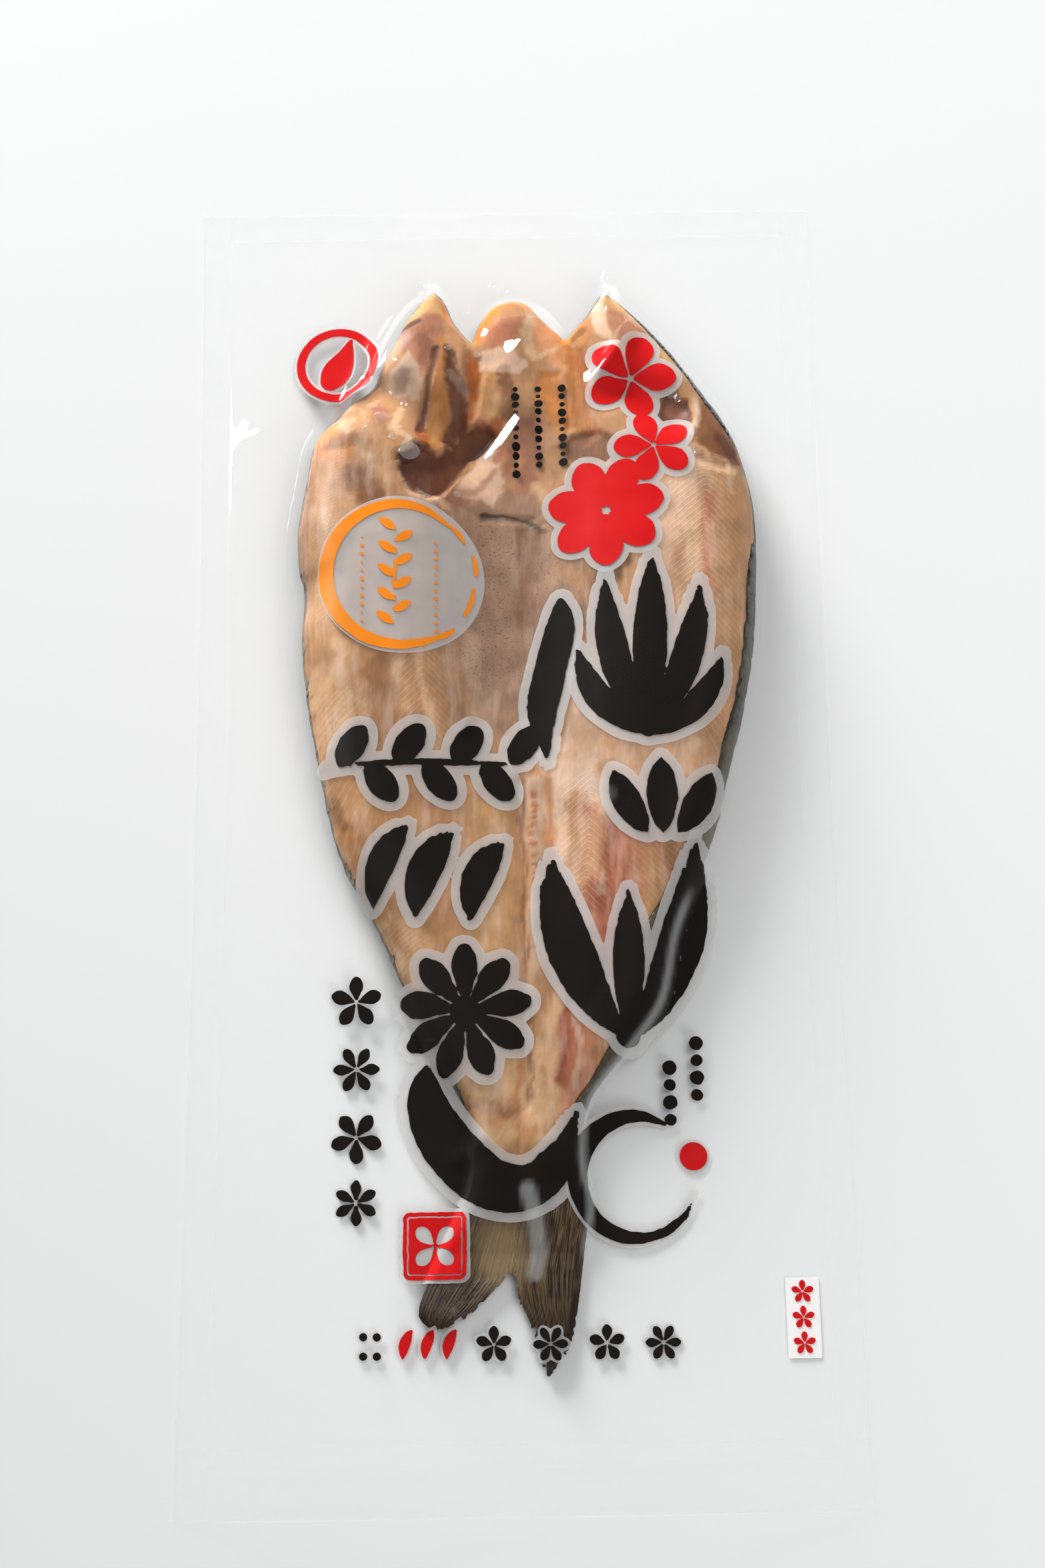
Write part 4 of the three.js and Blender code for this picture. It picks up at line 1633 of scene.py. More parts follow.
# Hollows of the flesh below the tight film, all of them downwards.
HOLLOWS: list[Swell] = [
    Swell((3.2, 8), (3.2, -100), 0.9, -0.7),
    Swell((34, -4), (29, -44), 2.6, -0.6),
    Swell((20, -62), (15, -98), 2.2, -0.5),
    Swell((-44, 52), (-42, 24), 3.5, -0.5),
    Swell((5, 98), (5, 52), 2.6, -0.5),
    Swell((47, 127), (74, 118), 1.6, -0.7),
    Swell((-10, 104), (8, 103), 1.2, -0.6),
    Swell((-53, 117), (-46, 108), 4, -0.7),
]


# The edge of the head's tissue over the two fillets, from left to right.
HEAD_LINE: list[Point] = [
    (-90, 156), (-62, 150), (-52, 143), (-44, 134), (-38.5, 125), (-37.4, 117), (-31, 110.8),
    (-21, 107), (-11, 103), (0, 102.5), (11, 99), (24, 103), (36, 117), (47, 131), (58, 127),
    (69.5, 122), (80.6, 119), (95, 117),
]


@dataclass
class Flesh:
    """The opened fish's flesh, lying on its skin just under the film. The head's tissue laps
    over the fillets along the head line."""

    step: float = 1.0
    head_step: float = 0.55
    lap: float = 2.0
    head_lift: float = 0.35
    inset: float = 0.8
    gap: float = 0.75
    edge_round: float = 2.8
    edge_drop: float = 1.7
    tail_end: float = -134.0
    thinnest: float = 0.8
    off_floor: float = 0.8
    roughness: float = 0.35
    warp: float = 5.2
    chevron_slope: float = 0.95
    tail_colour: Colour = srgb(126, 98, 66)

    def right_edge(self, y: Array) -> Array:
        """X of the flesh's right edge at y."""
        return edge_x(FLESH_RIGHT, y, 4)

    def region(self, x: Array, y: Array) -> Array:
        """Positive inside the flesh, by the distance to its nearest edge.

        Args:
            x, y: Places, in mm.

        Returns:
            The signed distance in mm.
        """
        tail = y - self.tail_end - 2.5 * np.sin(x * 0.5)
        sides = np.minimum(DEPTH(x, y) - self.inset, self.right_edge(y) - x)
        return np.minimum(sides, tail) + uneven(x, y, 5, 21, 1.1)

    def top(self, x: Array, y: Array) -> Array:
        """Upper face: the film's form less a gap, hollowed, grained and rounded at its edge.

        Args:
            x, y: Places, in mm.

        Returns:
            The height in mm.
        """
        rounded = round_off(self.region(x, y), self.edge_round, self.edge_drop)
        height = PACK_TOP(x, y) - self.gap - rounded
        height = height + sum(hollow.at(x, y) for hollow in HOLLOWS)
        for mark in (mark for mark in HEAD_MARKS if mark.sink > 0):
            height = height - mark.sink * mark.share(x, y, 0.5)
        height = height - self.roughness * cloud_noise(x, y, 7, seed=5)
        return np.maximum(height, self.bottom(x, y) + self.thinnest)

    def bottom(self, x: Array, y: Array) -> Array:
        """Lower face, a little above the skin's."""
        return PACK_BOTTOM(x, y) + self.off_floor

    def above_line(self, x: Array, y: Array) -> Array:
        """Height in the plan above the head line, less than 0 on the fillets."""
        line = smooth_curve(HEAD_LINE, 4)
        return y - np.interp(x, line[:, 0], line[:, 1])

    def fillet_region(self, x: Array, y: Array) -> Array:
        """The flesh below the head line, reaching a little under the head's tissue."""
        return np.minimum(self.region(x, y), self.lap - self.above_line(x, y))

    def head_region(self, x: Array, y: Array) -> Array:
        """The head's tissue, with a wavy free edge."""
        return np.minimum(self.region(x, y), self.above_line(x, y) + uneven(x, y, 6, 23, 2.4))

    def head_top(self, x: Array, y: Array) -> Array:
        """Upper face of the head's tissue, which thins out towards its free edge."""
        return self.top(x, y) + self.head_lift * (smooth(self.above_line(x, y) / 5) - 0.3)

    def paint(self, x: Array, y: Array) -> Array:
        """Colour at each point: tan, with every stain and then every mark laid over it.

        Args:
            x, y: Places, in mm.

        Returns:
            One linear colour for each point.
        """
        shift_x, shift_y = uneven(x, y, 9, 31, self.warp), uneven(x, y, 9, 41, self.warp)
        colour = np.tile(np.array(TAN), (len(x), 1))
        for layer, warp, size, seed in ((STAINS, 1.0, 4, 51), (HEAD_MARKS, 0.5, 2, 53)):
            cloud = cloud_noise(x, y, size, seed)
            for spot in layer:
                share = spot.share(x + shift_x * warp, y + shift_y * warp, cloud)[:, None]
                colour = mix(colour, np.array(spot.colour), share)
        tail = smooth((-118 - y) / 14)[:, None]
        return mix(colour, np.array(self.tail_colour), 0.85 * tail)

    def along_muscle(self, x: Array, y: Array) -> Array:
        """The muscle walls' own measure: y plus a chevron about the nearest muscle line."""
        chevron = np.min([distance_to_path(x, y, line) for line in MUSCLE_LINES], axis=0)
        return y + self.chevron_slope * chevron

    def dress(self, name: str, shape: Shape, finish: Material,
              fibrous: float) -> Piece:
        """Makes one part of the flesh and stores its colours and patterns; fibrous is how
        strongly its pale fibres show.

        Args:
            name: Name of the piece.
            shape: Its shape.
            finish: The flesh's material.
            fibrous: How strongly its fibres show.

        Returns:
            The piece.
        """
        x, y = shape.points[:, 0], shape.points[:, 1]
        speckle = max_of(SPECKLE_REGIONS, x, y)
        return make_piece(
            name, shape, finish, "fish_flesh", paint=self.paint(x, y), speckle=speckle,
            fibre=fibrous * (1 - speckle), muscle=max_of(MUSCLE_REGIONS, x, y),
            muscle_along=self.along_muscle(x, y))

    def build(self) -> list[Piece]:
        """Makes the fillets and the head's tissue.

        Returns:
            The fillets and the head.
        """
        finish = FleshFinish().build()
        fillets = plate(self.fillet_region, (-78, -140, 90, 160), self.step, self.top, self.bottom)
        head = plate(self.head_region, (-72, 96, 88, 196), self.head_step, self.head_top,
                     lambda x, y: self.bottom(x, y) + 0.3)
        return [self.dress("fillets", fillets, finish, 1.0), self.dress("head", head, finish, 0.15)]


@dataclass
class Skin:
    """The skin under the flesh: it shows as the dark back strip on the right, as a thin dark
    rim on the left, and as the whole of the fish's underside."""

    step: float = 1.2
    gap: float = 0.95
    edge_round: float = 3.4
    edge_drop: float = 3.0
    sunk: float = 1.9
    tail_end: float = -136.0
    flesh: Flesh = field(default_factory=Flesh)

    def region(self, x: Array, y: Array) -> Array:
        """Positive inside the skin's outline."""
        ragged = (cloud_noise(x, y, 3.4, seed=61) - 0.62) * 0.9
        return np.minimum(DEPTH(x, y) + ragged, y - self.tail_end)

    def top(self, x: Array, y: Array) -> Array:
        """Upper face: near the film on the strip, sunk below the flesh elsewhere.

        Args:
            x, y: Places, in mm.

        Returns:
            The height in mm.
        """
        rounded = round_off(DEPTH(x, y), self.edge_round, self.edge_drop)
        under_flesh = self.sunk * smooth(self.flesh.region(x, y) / 1.5)
        height = PACK_TOP(x, y) - self.gap - rounded - under_flesh
        height = height - 0.35 * cloud_noise(x, y, 2.6, seed=71)
        covered = self.flesh.region(x, y) > 1.2
        height = np.where(covered, np.minimum(height, self.flesh.top(x, y) - 0.6), height)
        return np.maximum(height, self.bottom(x, y) + 0.3)

    def bottom(self, x: Array, y: Array) -> Array:
        """Lower face, just above the lower film."""
        return PACK_BOTTOM(x, y) + 0.35

    def belly(self, x: Array, y: Array) -> Array:
        """How pale the skin is: the belly lies along the middle, the back at both sides, and the back
        strip is painted greyer below the middle as painted sheen of the film over it.

        Args:
            x, y: Places, in mm.

        Returns:
            Paleness from 0 to 1.
        """
        pale = smooth(1.25 - np.abs(FORM.reach(x, y)) * 1.35)
        strip = smooth((x - self.flesh.right_edge(y) + 5) / 4)
        # Painted sheen: the back strip painted greyer below the middle, for the film lying over it; it is
        # also greyer in a band near the head.
        greyer = 0.34 * smooth((30 - y) / 12) + 0.5 * smooth((y - 98) / 6) * smooth((130 - y) / 6)
        rim = 0.8 * smooth(1 - DEPTH(x, y) / 4)
        return np.maximum(pale * (1 - strip), strip * greyer + rim * (x < 0))

    def build(self) -> Piece:
        """Makes the skin.

        Returns:
            The skin.
        """
        shape = plate(self.region, (-80, -142, 92, 200), self.step, self.top, self.bottom)
        belly = self.belly(shape.points[:, 0], shape.points[:, 1])
        return make_piece("skin", shape, SkinFinish().build(), "fish_skin", belly=belly)


@dataclass
class TailFin:
    """The forked, dried tail fin: two lobes of rays with torn inner edges and small holes."""

    step: float = 0.55
    root: float = -126.0
    inset: float = 0.3
    thickness: float = 1.1
    rays: int = 20
    lobe_lanes: int = 40
    ridge: float = 0.34
    tear: float = 3.4
    holes: tuple[Triple, ...] = (
        (-12.9, -162.4, 0.9), (-16.2, -165.8, 0.6), (4.4, -169.5, 0.5),
    )

    def parting(self, y: Array) -> Array:
        """X of the line between the lobes, above the fork."""
        return np.interp(y, [-153.5, -128], [-3.0, 1.5])

    def lane(self, x: Array, y: Array) -> Array:
        """Number of the ray at each point, counted across each lobe from its outer edge.

        Args:
            x, y: Places, in mm.

        Returns:
            The ray's number, past 40 on the right lobe.
        """
        outer_left, outer_right = edge_x(LEFT_EDGE, y), edge_x(RIGHT_EDGE, y)
        fork_y = np.array([-185.5, -181, -168.5, -162, -153.5, -128.0])
        inner_left = np.interp(y, fork_y, [-40, -37, -20, -11, -3, 1.5])
        inner_right = np.interp(y, fork_y, [7, 6, 2, -1, -3, 1.5])
        on_left = x < np.where(y < -153.5, (inner_left + inner_right) / 2, self.parting(y))
        left_share = (x - outer_left) / np.maximum(inner_left - outer_left, 8)
        right_share = (outer_right - x) / np.maximum(outer_right - inner_right, 6)
        return np.where(on_left, left_share * self.rays, self.lobe_lanes + right_share * self.rays)

    def region(self, x: Array, y: Array) -> Array:
        """Positive inside the fin: torn along its inner edges, where single rays end early.

        Args:
            x, y: Places, in mm.

        Returns:
            The signed distance in mm.
        """
        lane = self.lane(x, y)
        torn = lattice_noise(lane * 2.3, y * 0.05, 1.0, seed=81)
        inner = smooth((np.mod(lane, self.lobe_lanes) - 6) / 8)
        inner = np.maximum(inner, 0.45 * smooth((-160 - y) / 8))
        inside = DEPTH(x, y) - self.inset - self.tear * inner * np.clip(torn - 0.25, 0, 1)
        for hole_x, hole_y, radius in self.holes:
            uneven = radius * (0.7 + 0.6 * cloud_noise(x, y, 1.1, seed=83))
            inside = np.minimum(inside, np.hypot(x - hole_x, (y - hole_y) / 1.6) - uneven)
        return np.minimum(inside, self.root - y)

    def top(self, x: Array, y: Array) -> Array:
        """Upper face: below the film, ridged over every ray."""
        ridge = self.ridge * (1 - np.abs(np.sin(np.pi * self.lane(x, y))))
        return np.maximum(PACK_TOP(x, y) - 0.72 - ridge, self.bottom(x, y) + 0.35)

    def bottom(self, x: Array, y: Array) -> Array:
        """Lower face: the fin's thickness below the film, kept above the lower film."""
        return np.maximum(PACK_BOTTOM(x, y) + 0.2, PACK_TOP(x, y) - 0.9 - self.thickness)

    def build(self) -> Piece:
        """Makes the tail fin.

        Returns:
            The fin.
        """
        shape = plate(self.region, (-36, -188, 25, -124), self.step, self.top, self.bottom)
        x, y = shape.points[:, 0], shape.points[:, 1]
        lane = self.lane(x, y)
        outer = smooth(1 - np.mod(lane, self.lobe_lanes) / 5)
        tips = smooth((-150 - y) / 30)
        return make_piece(
            "tail_fin", shape, FinFinish().build(), "tail_fin", ray=lane,
            tip=np.clip(0.35 * outer + 0.8 * tips * outer + 0.8 * tips, 0, 0.94),
            light=0.6 * smooth(1.4 - np.hypot(x + 6, (y + 146) / 1.4) / 9))


# --- The print on the upper film: plain brush shapes with frosted rims ---

class Ink(Enum):
    """The print's inks."""

    FROST = "frosted white"
    WHITE = "full white"
    BLACK = "black"
    RED = "red"
    ORANGE = "orange"


# The frosted white covers this share at each of its two faces.
INK_FINISH: dict[Ink, InkFinish] = {
    Ink.FROST: InkFinish("ink_white", (0.73, 0.72, 0.71), cover=0.34),
    Ink.WHITE: InkFinish("ink_white", (0.92, 0.92, 0.91), uneven=0.01),
    Ink.BLACK: InkFinish("ink_black", srgb(24, 18, 14), uneven=0.004),
    Ink.RED: InkFinish("ink_red", srgb(206, 14, 18), uneven=0.02),
    Ink.ORANGE: InkFinish("ink_orange", srgb(244, 140, 24), uneven=0.03),
}


@dataclass(frozen=True)
class Brush:
    """A brush stroke: rows of x, y and half-width along it, and how dry its end runs."""

    rows: tuple[Triple, ...]
    dry: float = 0.0

    def at(self, x: Array, y: Array) -> Array:
        """Positive inside the stroke: half-width less distance, thinned in streaks where dry.

        Args:
            x, y: Places, in mm.

        Returns:
            The signed distance in mm.
        """
        path = smooth_curve(self.rows, 6)
        value = np.full(x.shape, -99.0)
        total = len(path) - 1
        for i, (a, b) in enumerate(zip(path[:-1], path[1:])):
            distance, share = distance_to_piece(x, y, a, b)
            here = mix(a[2], b[2], share) - distance
            if self.dry > 0:
                run = b[:2] - a[:2]
                side = ((x - a[0]) * run[1] - (y - a[1]) * run[0]) / max(np.hypot(*run), 1e-6)
                streak = lattice_noise(side * 2.4, (i + share) * 0.35, 1.0, seed=91)
                worn = np.clip(((i + share) / total - 0.62) / 0.38, 0, 1)
                here = here - self.dry * worn * streak
            value = np.maximum(value, here)
        return value


def leaf(start: Point, end: Point, width: float, bend: float = 0.0, dry: float = 0.0) -> Brush:
    """A leaf-shaped stroke from one point to another.

    Args:
        start: Its first tip.
        end: Its last tip.
        width: Half-width at its middle.
        bend: How far its middle bows to the left of the way, in mm.
        dry: How dry its end runs.

    Returns:
        The stroke.
    """
    way = np.subtract(end, start)
    side = np.array((-way[1], way[0])) / max(float(np.hypot(*way)), 1e-6)
    rows = []
    for share, wide in ((0, 0.08), (0.22, 0.7), (0.5, 1.0), (0.78, 0.72), (1, 0.06)):
        point = np.add(start, way * share) + side * bend * 4 * share * (1 - share)
        rows.append((float(point[0]), float(point[1]), wide * width))
    return Brush(tuple(rows), dry)


def petals(centre: Point, count: int, reach: float, width: float, turn: float = 0.0) -> list[Brush]:
    """Drop-shaped strokes standing round a centre, widest towards their outer ends.

    Args:
        centre: Where they meet.
        count: How many there are.
        reach: Their length.
        width: Their half-width.
        turn: Angle of the first, in degrees.

    Returns:
        The strokes.
    """
    strokes = []
    for i in range(count):
        angle = math.radians(turn) + 2 * math.pi * i / count
        way = (math.cos(angle), math.sin(angle))
        rows = [
            (centre[0] + way[0] * reach * share, centre[1] + way[1] * reach * share, wide * width)
            for share, wide in ((0.12, 0.15), (0.45, 0.7), (0.72, 1.0), (0.9, 0.6))
        ]
        strokes.append(Brush(tuple(rows)))
    return strokes


def brushed_ring(centre: Point, radius: float, widths: Sequence[Point], dry: float) -> Brush:
    """A round stroke whose half-width swells and thins.

    Args:
        centre: Its centre.
        radius: Its radius.
        widths: Pairs of an angle in degrees and the half-width there.
        dry: How dry its end runs.

    Returns:
        The stroke.
    """
    rows = [
        (centre[0] + radius * math.cos(math.radians(angle)),
         centre[1] + radius * math.sin(math.radians(angle)), wide)
        for angle, wide in widths
    ]
    return Brush(tuple(rows), dry)


def dots(places: Sequence[Triple]) -> list[Brush]:
    """Round dots, each given by its centre and radius."""
    return [Brush(((x - 0.05, y, r), (x + 0.05, y, r))) for x, y, r in places]


@dataclass(frozen=True)
class Motif:
    """Strokes printed together in one ink, with a frosted rim of some width round them."""

    ink: Ink
    strokes: tuple[Brush, ...]
    rim: float = 0.0
    step: float = 0.6
    ragged: float = 0.7

    def box(self, margin: float) -> Box:
        """The rectangle round the strokes with a margin.

        Args:
            margin: Width added all round.

        Returns:
            Low x, low y, high x and high y.
        """
        rows = np.vstack([np.array(stroke.rows) for stroke in self.strokes])
        wide = rows[:, 2].max() + margin
        low, high = rows[:, :2].min(axis=0) - wide, rows[:, :2].max(axis=0) + wide
        return float(low[0]), float(low[1]), float(high[0]), float(high[1])

    def joined(self, x: Array, y: Array) -> Array:
        """Positive inside any stroke."""
        return np.max([stroke.at(x, y) for stroke in self.strokes], axis=0)

    def inked(self, x: Array, y: Array) -> Array:
        """Positive on the ink, with slightly ragged edges."""
        return self.joined(x, y) + uneven(x, y, 2.2, 101, self.ragged)

    def rimmed(self, x: Array, y: Array) -> Array:
        """Positive on the frosted rim, whose edge runs smoother."""
        return self.joined(x, y) + self.rim + uneven(x, y, 9, 103, self.ragged)


def film_height(x: Array, y: Array) -> Array:
    """Height of the upper film's outer face, from the maps."""
    return PACK_TOP(x, y) + FOLDS(x, y)


def print_plate(field_at: Height, box: Box, step: float,
                below: float, thick: float) -> Shape:
    """A thin closed plate printed on the inner side of the upper film.

    Args:
        field_at: Positive where there is ink.
        box: Rectangle to look in.
        step: Side of a cell.
        below: How far its upper face lies under the film's outer face.
        thick: Its thickness.

    Returns:
        The plate.
    """
    return plate(
        field_at, box, step,
        lambda x, y: film_height(x, y) - below,
        lambda x, y: film_height(x, y) - below - thick,
    )


def sprig(foot: Point, tip: Point, count: int, reach: float, width: float) -> list[Brush]:
    """A straight stem with leaves that stand off it to the left and right in turn.

    Args:
        foot, tip: The stem's ends.
        count: How many leaves there are.
        reach: Their length.
        width: Their half-width.

    Returns:
        The strokes.
    """
    way = np.subtract(tip, foot)
    ahead = way / np.hypot(*way)
    side = np.array((-ahead[1], ahead[0]))
    strokes = [leaf(foot, tip, 0.22 * width)]
    for i in range(count):
        root = np.add(foot, way * (i + 0.5) / count)
        end = root + (0.85 * side * (-1) ** i + 0.6 * ahead) * reach
        strokes.append(leaf(tuple(root), tuple(end), width))
    return strokes


def bold(*strokes: Brush) -> Motif:
    """A large black motif with a wide frosted rim."""
    return Motif(Ink.BLACK, strokes, rim=3.1)


MOTIFS: list[Motif] = [
    # Slim leaf.
    bold(Brush((
        (17, 72, 1.2), (16.8, 64, 4.6), (13, 48, 5.4), (9.8, 32, 5.0), (11.5, 15, 0.6),
    ), 1.5)),
    # Fan of five leaves, upper right.
    bold(
        leaf((45, 22), (22, 55), 4.4, 5, 0.8),
        leaf((45, 22), (32, 80), 5.2, 4, 1.2),
        leaf((45, 22), (48, 86), 5.8, 0, 0.8),
        leaf((45, 22), (64, 76), 5.2, -4, 1.4),
        leaf((45, 22), (71, 50), 4.4, -5, 0.8),
        *dots([(45, 24.5, 3.2)]),
    ),
    # Three drops.
    bold(
        leaf((44, -11), (33, 10), 4.8, 1), leaf((49, -11), (49, 14), 5.2),
        leaf((54, -11), (66, 9), 4.8, -1),
    ),
    # Three broad leaves, right.
    bold(
        leaf((35, -79), (12, -17), 7.6, 6, 1.6),
        leaf((36, -79), (37, -30), 5.2, 0, 0.6),
        leaf((37, -79), (60, -12), 7.6, -6, 2.2),
        *dots([(36, -77, 4.2)]),
    ),
    # Sprig of seven leaves lying across the left fillet.
    bold(*sprig((-63, 13), (4, 15), 7, 15, 4.6)),
    # Three leaves blown to one side.
    bold(
        leaf((-47, -34), (-35, -7), 4.8, 3, 1.2),
        leaf((-33, -38), (-20, -9), 5.6, 3.4, 1.6),
        leaf((-15, -39), (-3, -12), 5.2, 3.4, 1.2),
    ),
    # Flower of nine petals.
    bold(*petals((-17, -69), 9, 21.5, 4.3, 10), *dots([(-17, -69, 5.0)])),
    # Wide crescent.
    bold(Brush((
        (-30, -86, 1.0), (-30.5, -93, 5.0), (-28, -103, 7.6), (-20, -115, 8.6), (-8, -124.5, 8.0),
        (4, -124.5, 7.0), (13, -116, 5.6), (19, -102, 1.0),
    ), 1.6)),
    # Column of small flowers and seeds, left.
    Motif(Ink.BLACK, (
        *petals((-53, -64), 5, 8.0, 2.3, 18),
        *petals((-53, -86), 6, 7.4, 1.8, 0),
        *petals((-53, -108), 5, 8.0, 2.3, 54),
        *petals((-53, -129), 6, 7.0, 1.7, 30),
    ), step=0.45, ragged=0.4),
    # Open round ring, lower right.
    Motif(Ink.BLACK, (brushed_ring((38, -122), 19.5, (
        (60, 0.5), (85, 1.8), (110, 2.6), (140, 3.2), (170, 3.4), (200, 3.0), (230, 2.6),
        (260, 2.2), (290, 1.8), (320, 1.2), (345, 0.5),
    ), 1.2),), rim=1.1, step=0.5, ragged=0.5),
    # Ring and drop, upper left.
    Motif(Ink.RED, (
        brushed_ring((-60.5, 165), 13.2, [(40 + 20 * i, 1.5) for i in range(19)], 0),
        Brush(((-56, 174.5, 0.6), (-58, 168, 3.2), (-61, 162, 5.2), (-63, 158.5, 3.6))),
    ), rim=0.9, step=0.5, ragged=0.2),
    # Three flowers, upper right.
    Motif(Ink.RED, (
        *petals((43, 154), 5, 14.5, 4.9, 70),
        *petals((50, 126), 5, 12.5, 4.2, 35),
        *petals((33, 103), 7, 18.5, 5.8, 12),
    ), rim=2.4, step=0.55, ragged=0.4),
    # Orange brush ring and sprig on the round frosted field.
    Motif(Ink.ORANGE, (
        brushed_ring((-37.5, 80), 25.4, (
            (48, 0.5), (70, 1.3), (92, 1.7), (115, 1.9), (138, 2.2), (160, 2.5), (182, 2.6),
            (204, 2.5), (226, 2.3), (248, 2.2), (270, 2.0), (290, 1.5), (306, 0.6),
        ), 1.2),
        leaf((-21, 99.5), (-15.5, 93), 0.9, 0.6),
        leaf((-13.2, 90), (-12.0, 81), 0.7, 0.5),
        leaf((-12.6, 78), (-16.6, 66), 0.8, 0.8),
        leaf((-19, 62), (-26, 57.5), 1.0, 0.5),
        *sprig((-40, 60), (-39, 98), 9, 6.6, 1.5),
        *dots([(-50.5, 93 - 3.0 * i, 0.42 + 0.08 * (i % 3)) for i in range(11)]),
        *dots([(-25.5, 92 - 2.9 * i, 0.46 + 0.08 * (i % 2)) for i in range(12)]),
    ), step=0.4, ragged=0.15),
    # Columns of small black dots, upper right of the throat.
    Motif(Ink.BLACK, tuple(dots([
        (x, 151 - 3.1 * i, 0.85 + 0.3 * ((i * 2 + column) % 3))
        for column, (x, count) in enumerate(((2.5, 11), (10.5, 10), (18.8, 10)))
        for i in range(count)
    ])), step=0.35, ragged=0.5),
    # Columns of small black dots, lower right.
    Motif(Ink.BLACK, tuple(dots([
        (x, y - 5.6 * i, 2.3 - 0.4 * (i % 2)) for x, y in ((58.5, -79), (49.5, -87)) for i in range(4)
    ])), step=0.4, ragged=0.5),
    # Line of small flowers and seeds at the foot.
    Motif(Ink.BLACK, (
        *dots([(x, y, 1.3) for x in (-50.5, -46.2) for y in (-171, -177)]),
        *[stroke for x in (-9, 27) for stroke in petals((x, -174), 5, 5.4, 1.6, 90)],
        *[stroke for x in (9, 45) for stroke in petals((x, -174), 6, 5.4, 1.4, 0)],
    ), rim=0.8, step=0.4, ragged=0.4),
    Motif(Ink.RED, tuple(
        leaf((x, -178), (x + 3, -169), 1.8, 0.8) for x in (-38, -31, -24)
    ), rim=0.8, step=0.4, ragged=0.3),
    # Round red dot in the ring's opening.
    Motif(Ink.RED, tuple(dots([(56.6, -115.6, 4.5)])), rim=1.0, step=0.45, ragged=0.1),
    # Three small flowers on the white label.
    Motif(Ink.RED, tuple(
        stroke for y in (-159, -167, -175) for stroke in petals((90, y), 5, 3.4, 1.0, 90)
    ), step=0.3, ragged=0.15),
]


@dataclass(frozen=True)
class Panel:
    """A plain printed field with rounded corners."""

    ink: Ink
    centre: Point
    half: Point
    corner: float
    ragged: float = 0.0
    below: float = 0.46

    def at(self, x: Array, y: Array) -> Array:
        """Positive inside the rounded rectangle, less the distance past its inner box.

        Args:
            x, y: Places, in mm.

        Returns:
            The signed distance in mm.
        """
        dx = np.abs(x - self.centre[0]) - self.half[0] + self.corner
        dy = np.abs(y - self.centre[1]) - self.half[1] + self.corner
        outside = np.hypot(np.maximum(dx, 0), np.maximum(dy, 0)) + np.minimum(np.maximum(dx, dy), 0)
        return self.corner - outside + uneven(x, y, 2, 107, self.ragged)

    def shape(self, step: float = 0.6) -> Shape:
        """The field's plate.

        Args:
            step: Side of a cell.

        Returns:
            The plate.
        """
        reach = (self.half[0] + 1.5, self.half[1] + 1.5)
        box = (self.centre[0] - reach[0], self.centre[1] - reach[1],
               self.centre[0] + reach[0], self.centre[1] + reach[1])
        return print_plate(self.at, box, step, self.below, 0.1)


SEAL_PRINT = Panel(Ink.RED, (-27.6, -143), (10.2, 10.6), 2.2, 0.5, below=0.3)
PANELS: list[Panel] = [
    Panel(Ink.FROST, (-37.5, 80), (28.4, 28.4), 28.4),
    Panel(Ink.FROST, (-27.6, -143), (11.4, 11.8), 3.0, 0.4),
    Panel(Ink.WHITE, (90, -167), (5.4, 12.6), 0.4),
]


@dataclass
class Print:
    """All the printing on the upper film, gathered into one piece for each ink."""

    ink_below: float = 0.26
    ink_thick: float = 0.14
    rim_below: float = 0.48
    rim_thick: float = 0.1
    rim_step: float = 0.8

    def seal_field(self, x: Array, y: Array) -> Array:
        """The small red square: a rounded field with an inner line and four petals left out.

        Args:
            x, y: Places, in mm.

        Returns:
            The signed distance in mm.
        """
        solid = SEAL_PRINT.at(x, y)
        line = 0.22 - np.abs(solid - 1.5)
        flower = np.max([p.at(x, y) for p in petals(SEAL_PRINT.centre, 4, 7.4, 2.3, 45)], axis=0)
        return np.minimum(solid, -np.maximum(line, flower))

    def shapes(self) -> dict[Ink, list[Shape]]:
        """The plates of every ink.

        Returns:
            The plates of each ink.
        """
        shapes: dict[Ink, list[Shape]] = {ink: [] for ink in Ink}
        for motif in MOTIFS:
            plain = print_plate(
                motif.inked, motif.box(1.0), motif.step, self.ink_below, self.ink_thick)
            shapes[motif.ink].append(plain)
            if motif.rim > 0:
                shapes[Ink.FROST].append(print_plate(
                    motif.rimmed, motif.box(motif.rim + 1.0), self.rim_step, self.rim_below,
                    self.rim_thick))
        for panel in PANELS:
            shapes[panel.ink].append(panel.shape())
        seal_box = (-39.4, -155.2, -15.8, -130.8)
        shapes[Ink.RED].append(
            print_plate(self.seal_field, seal_box, 0.35, self.ink_below, self.ink_thick))
        return shapes

    def build(self) -> list[Piece]:
        """Makes the pieces of print.

        Returns:
            The pieces.
        """
        pieces = []
        for ink, parts in self.shapes().items():
            finish = INK_FINISH[ink]
            name = f"print_{ink.name.lower()}"
            pieces.append(make_piece(name, Shape.joined(parts), finish.build(), finish.name))
        return pieces


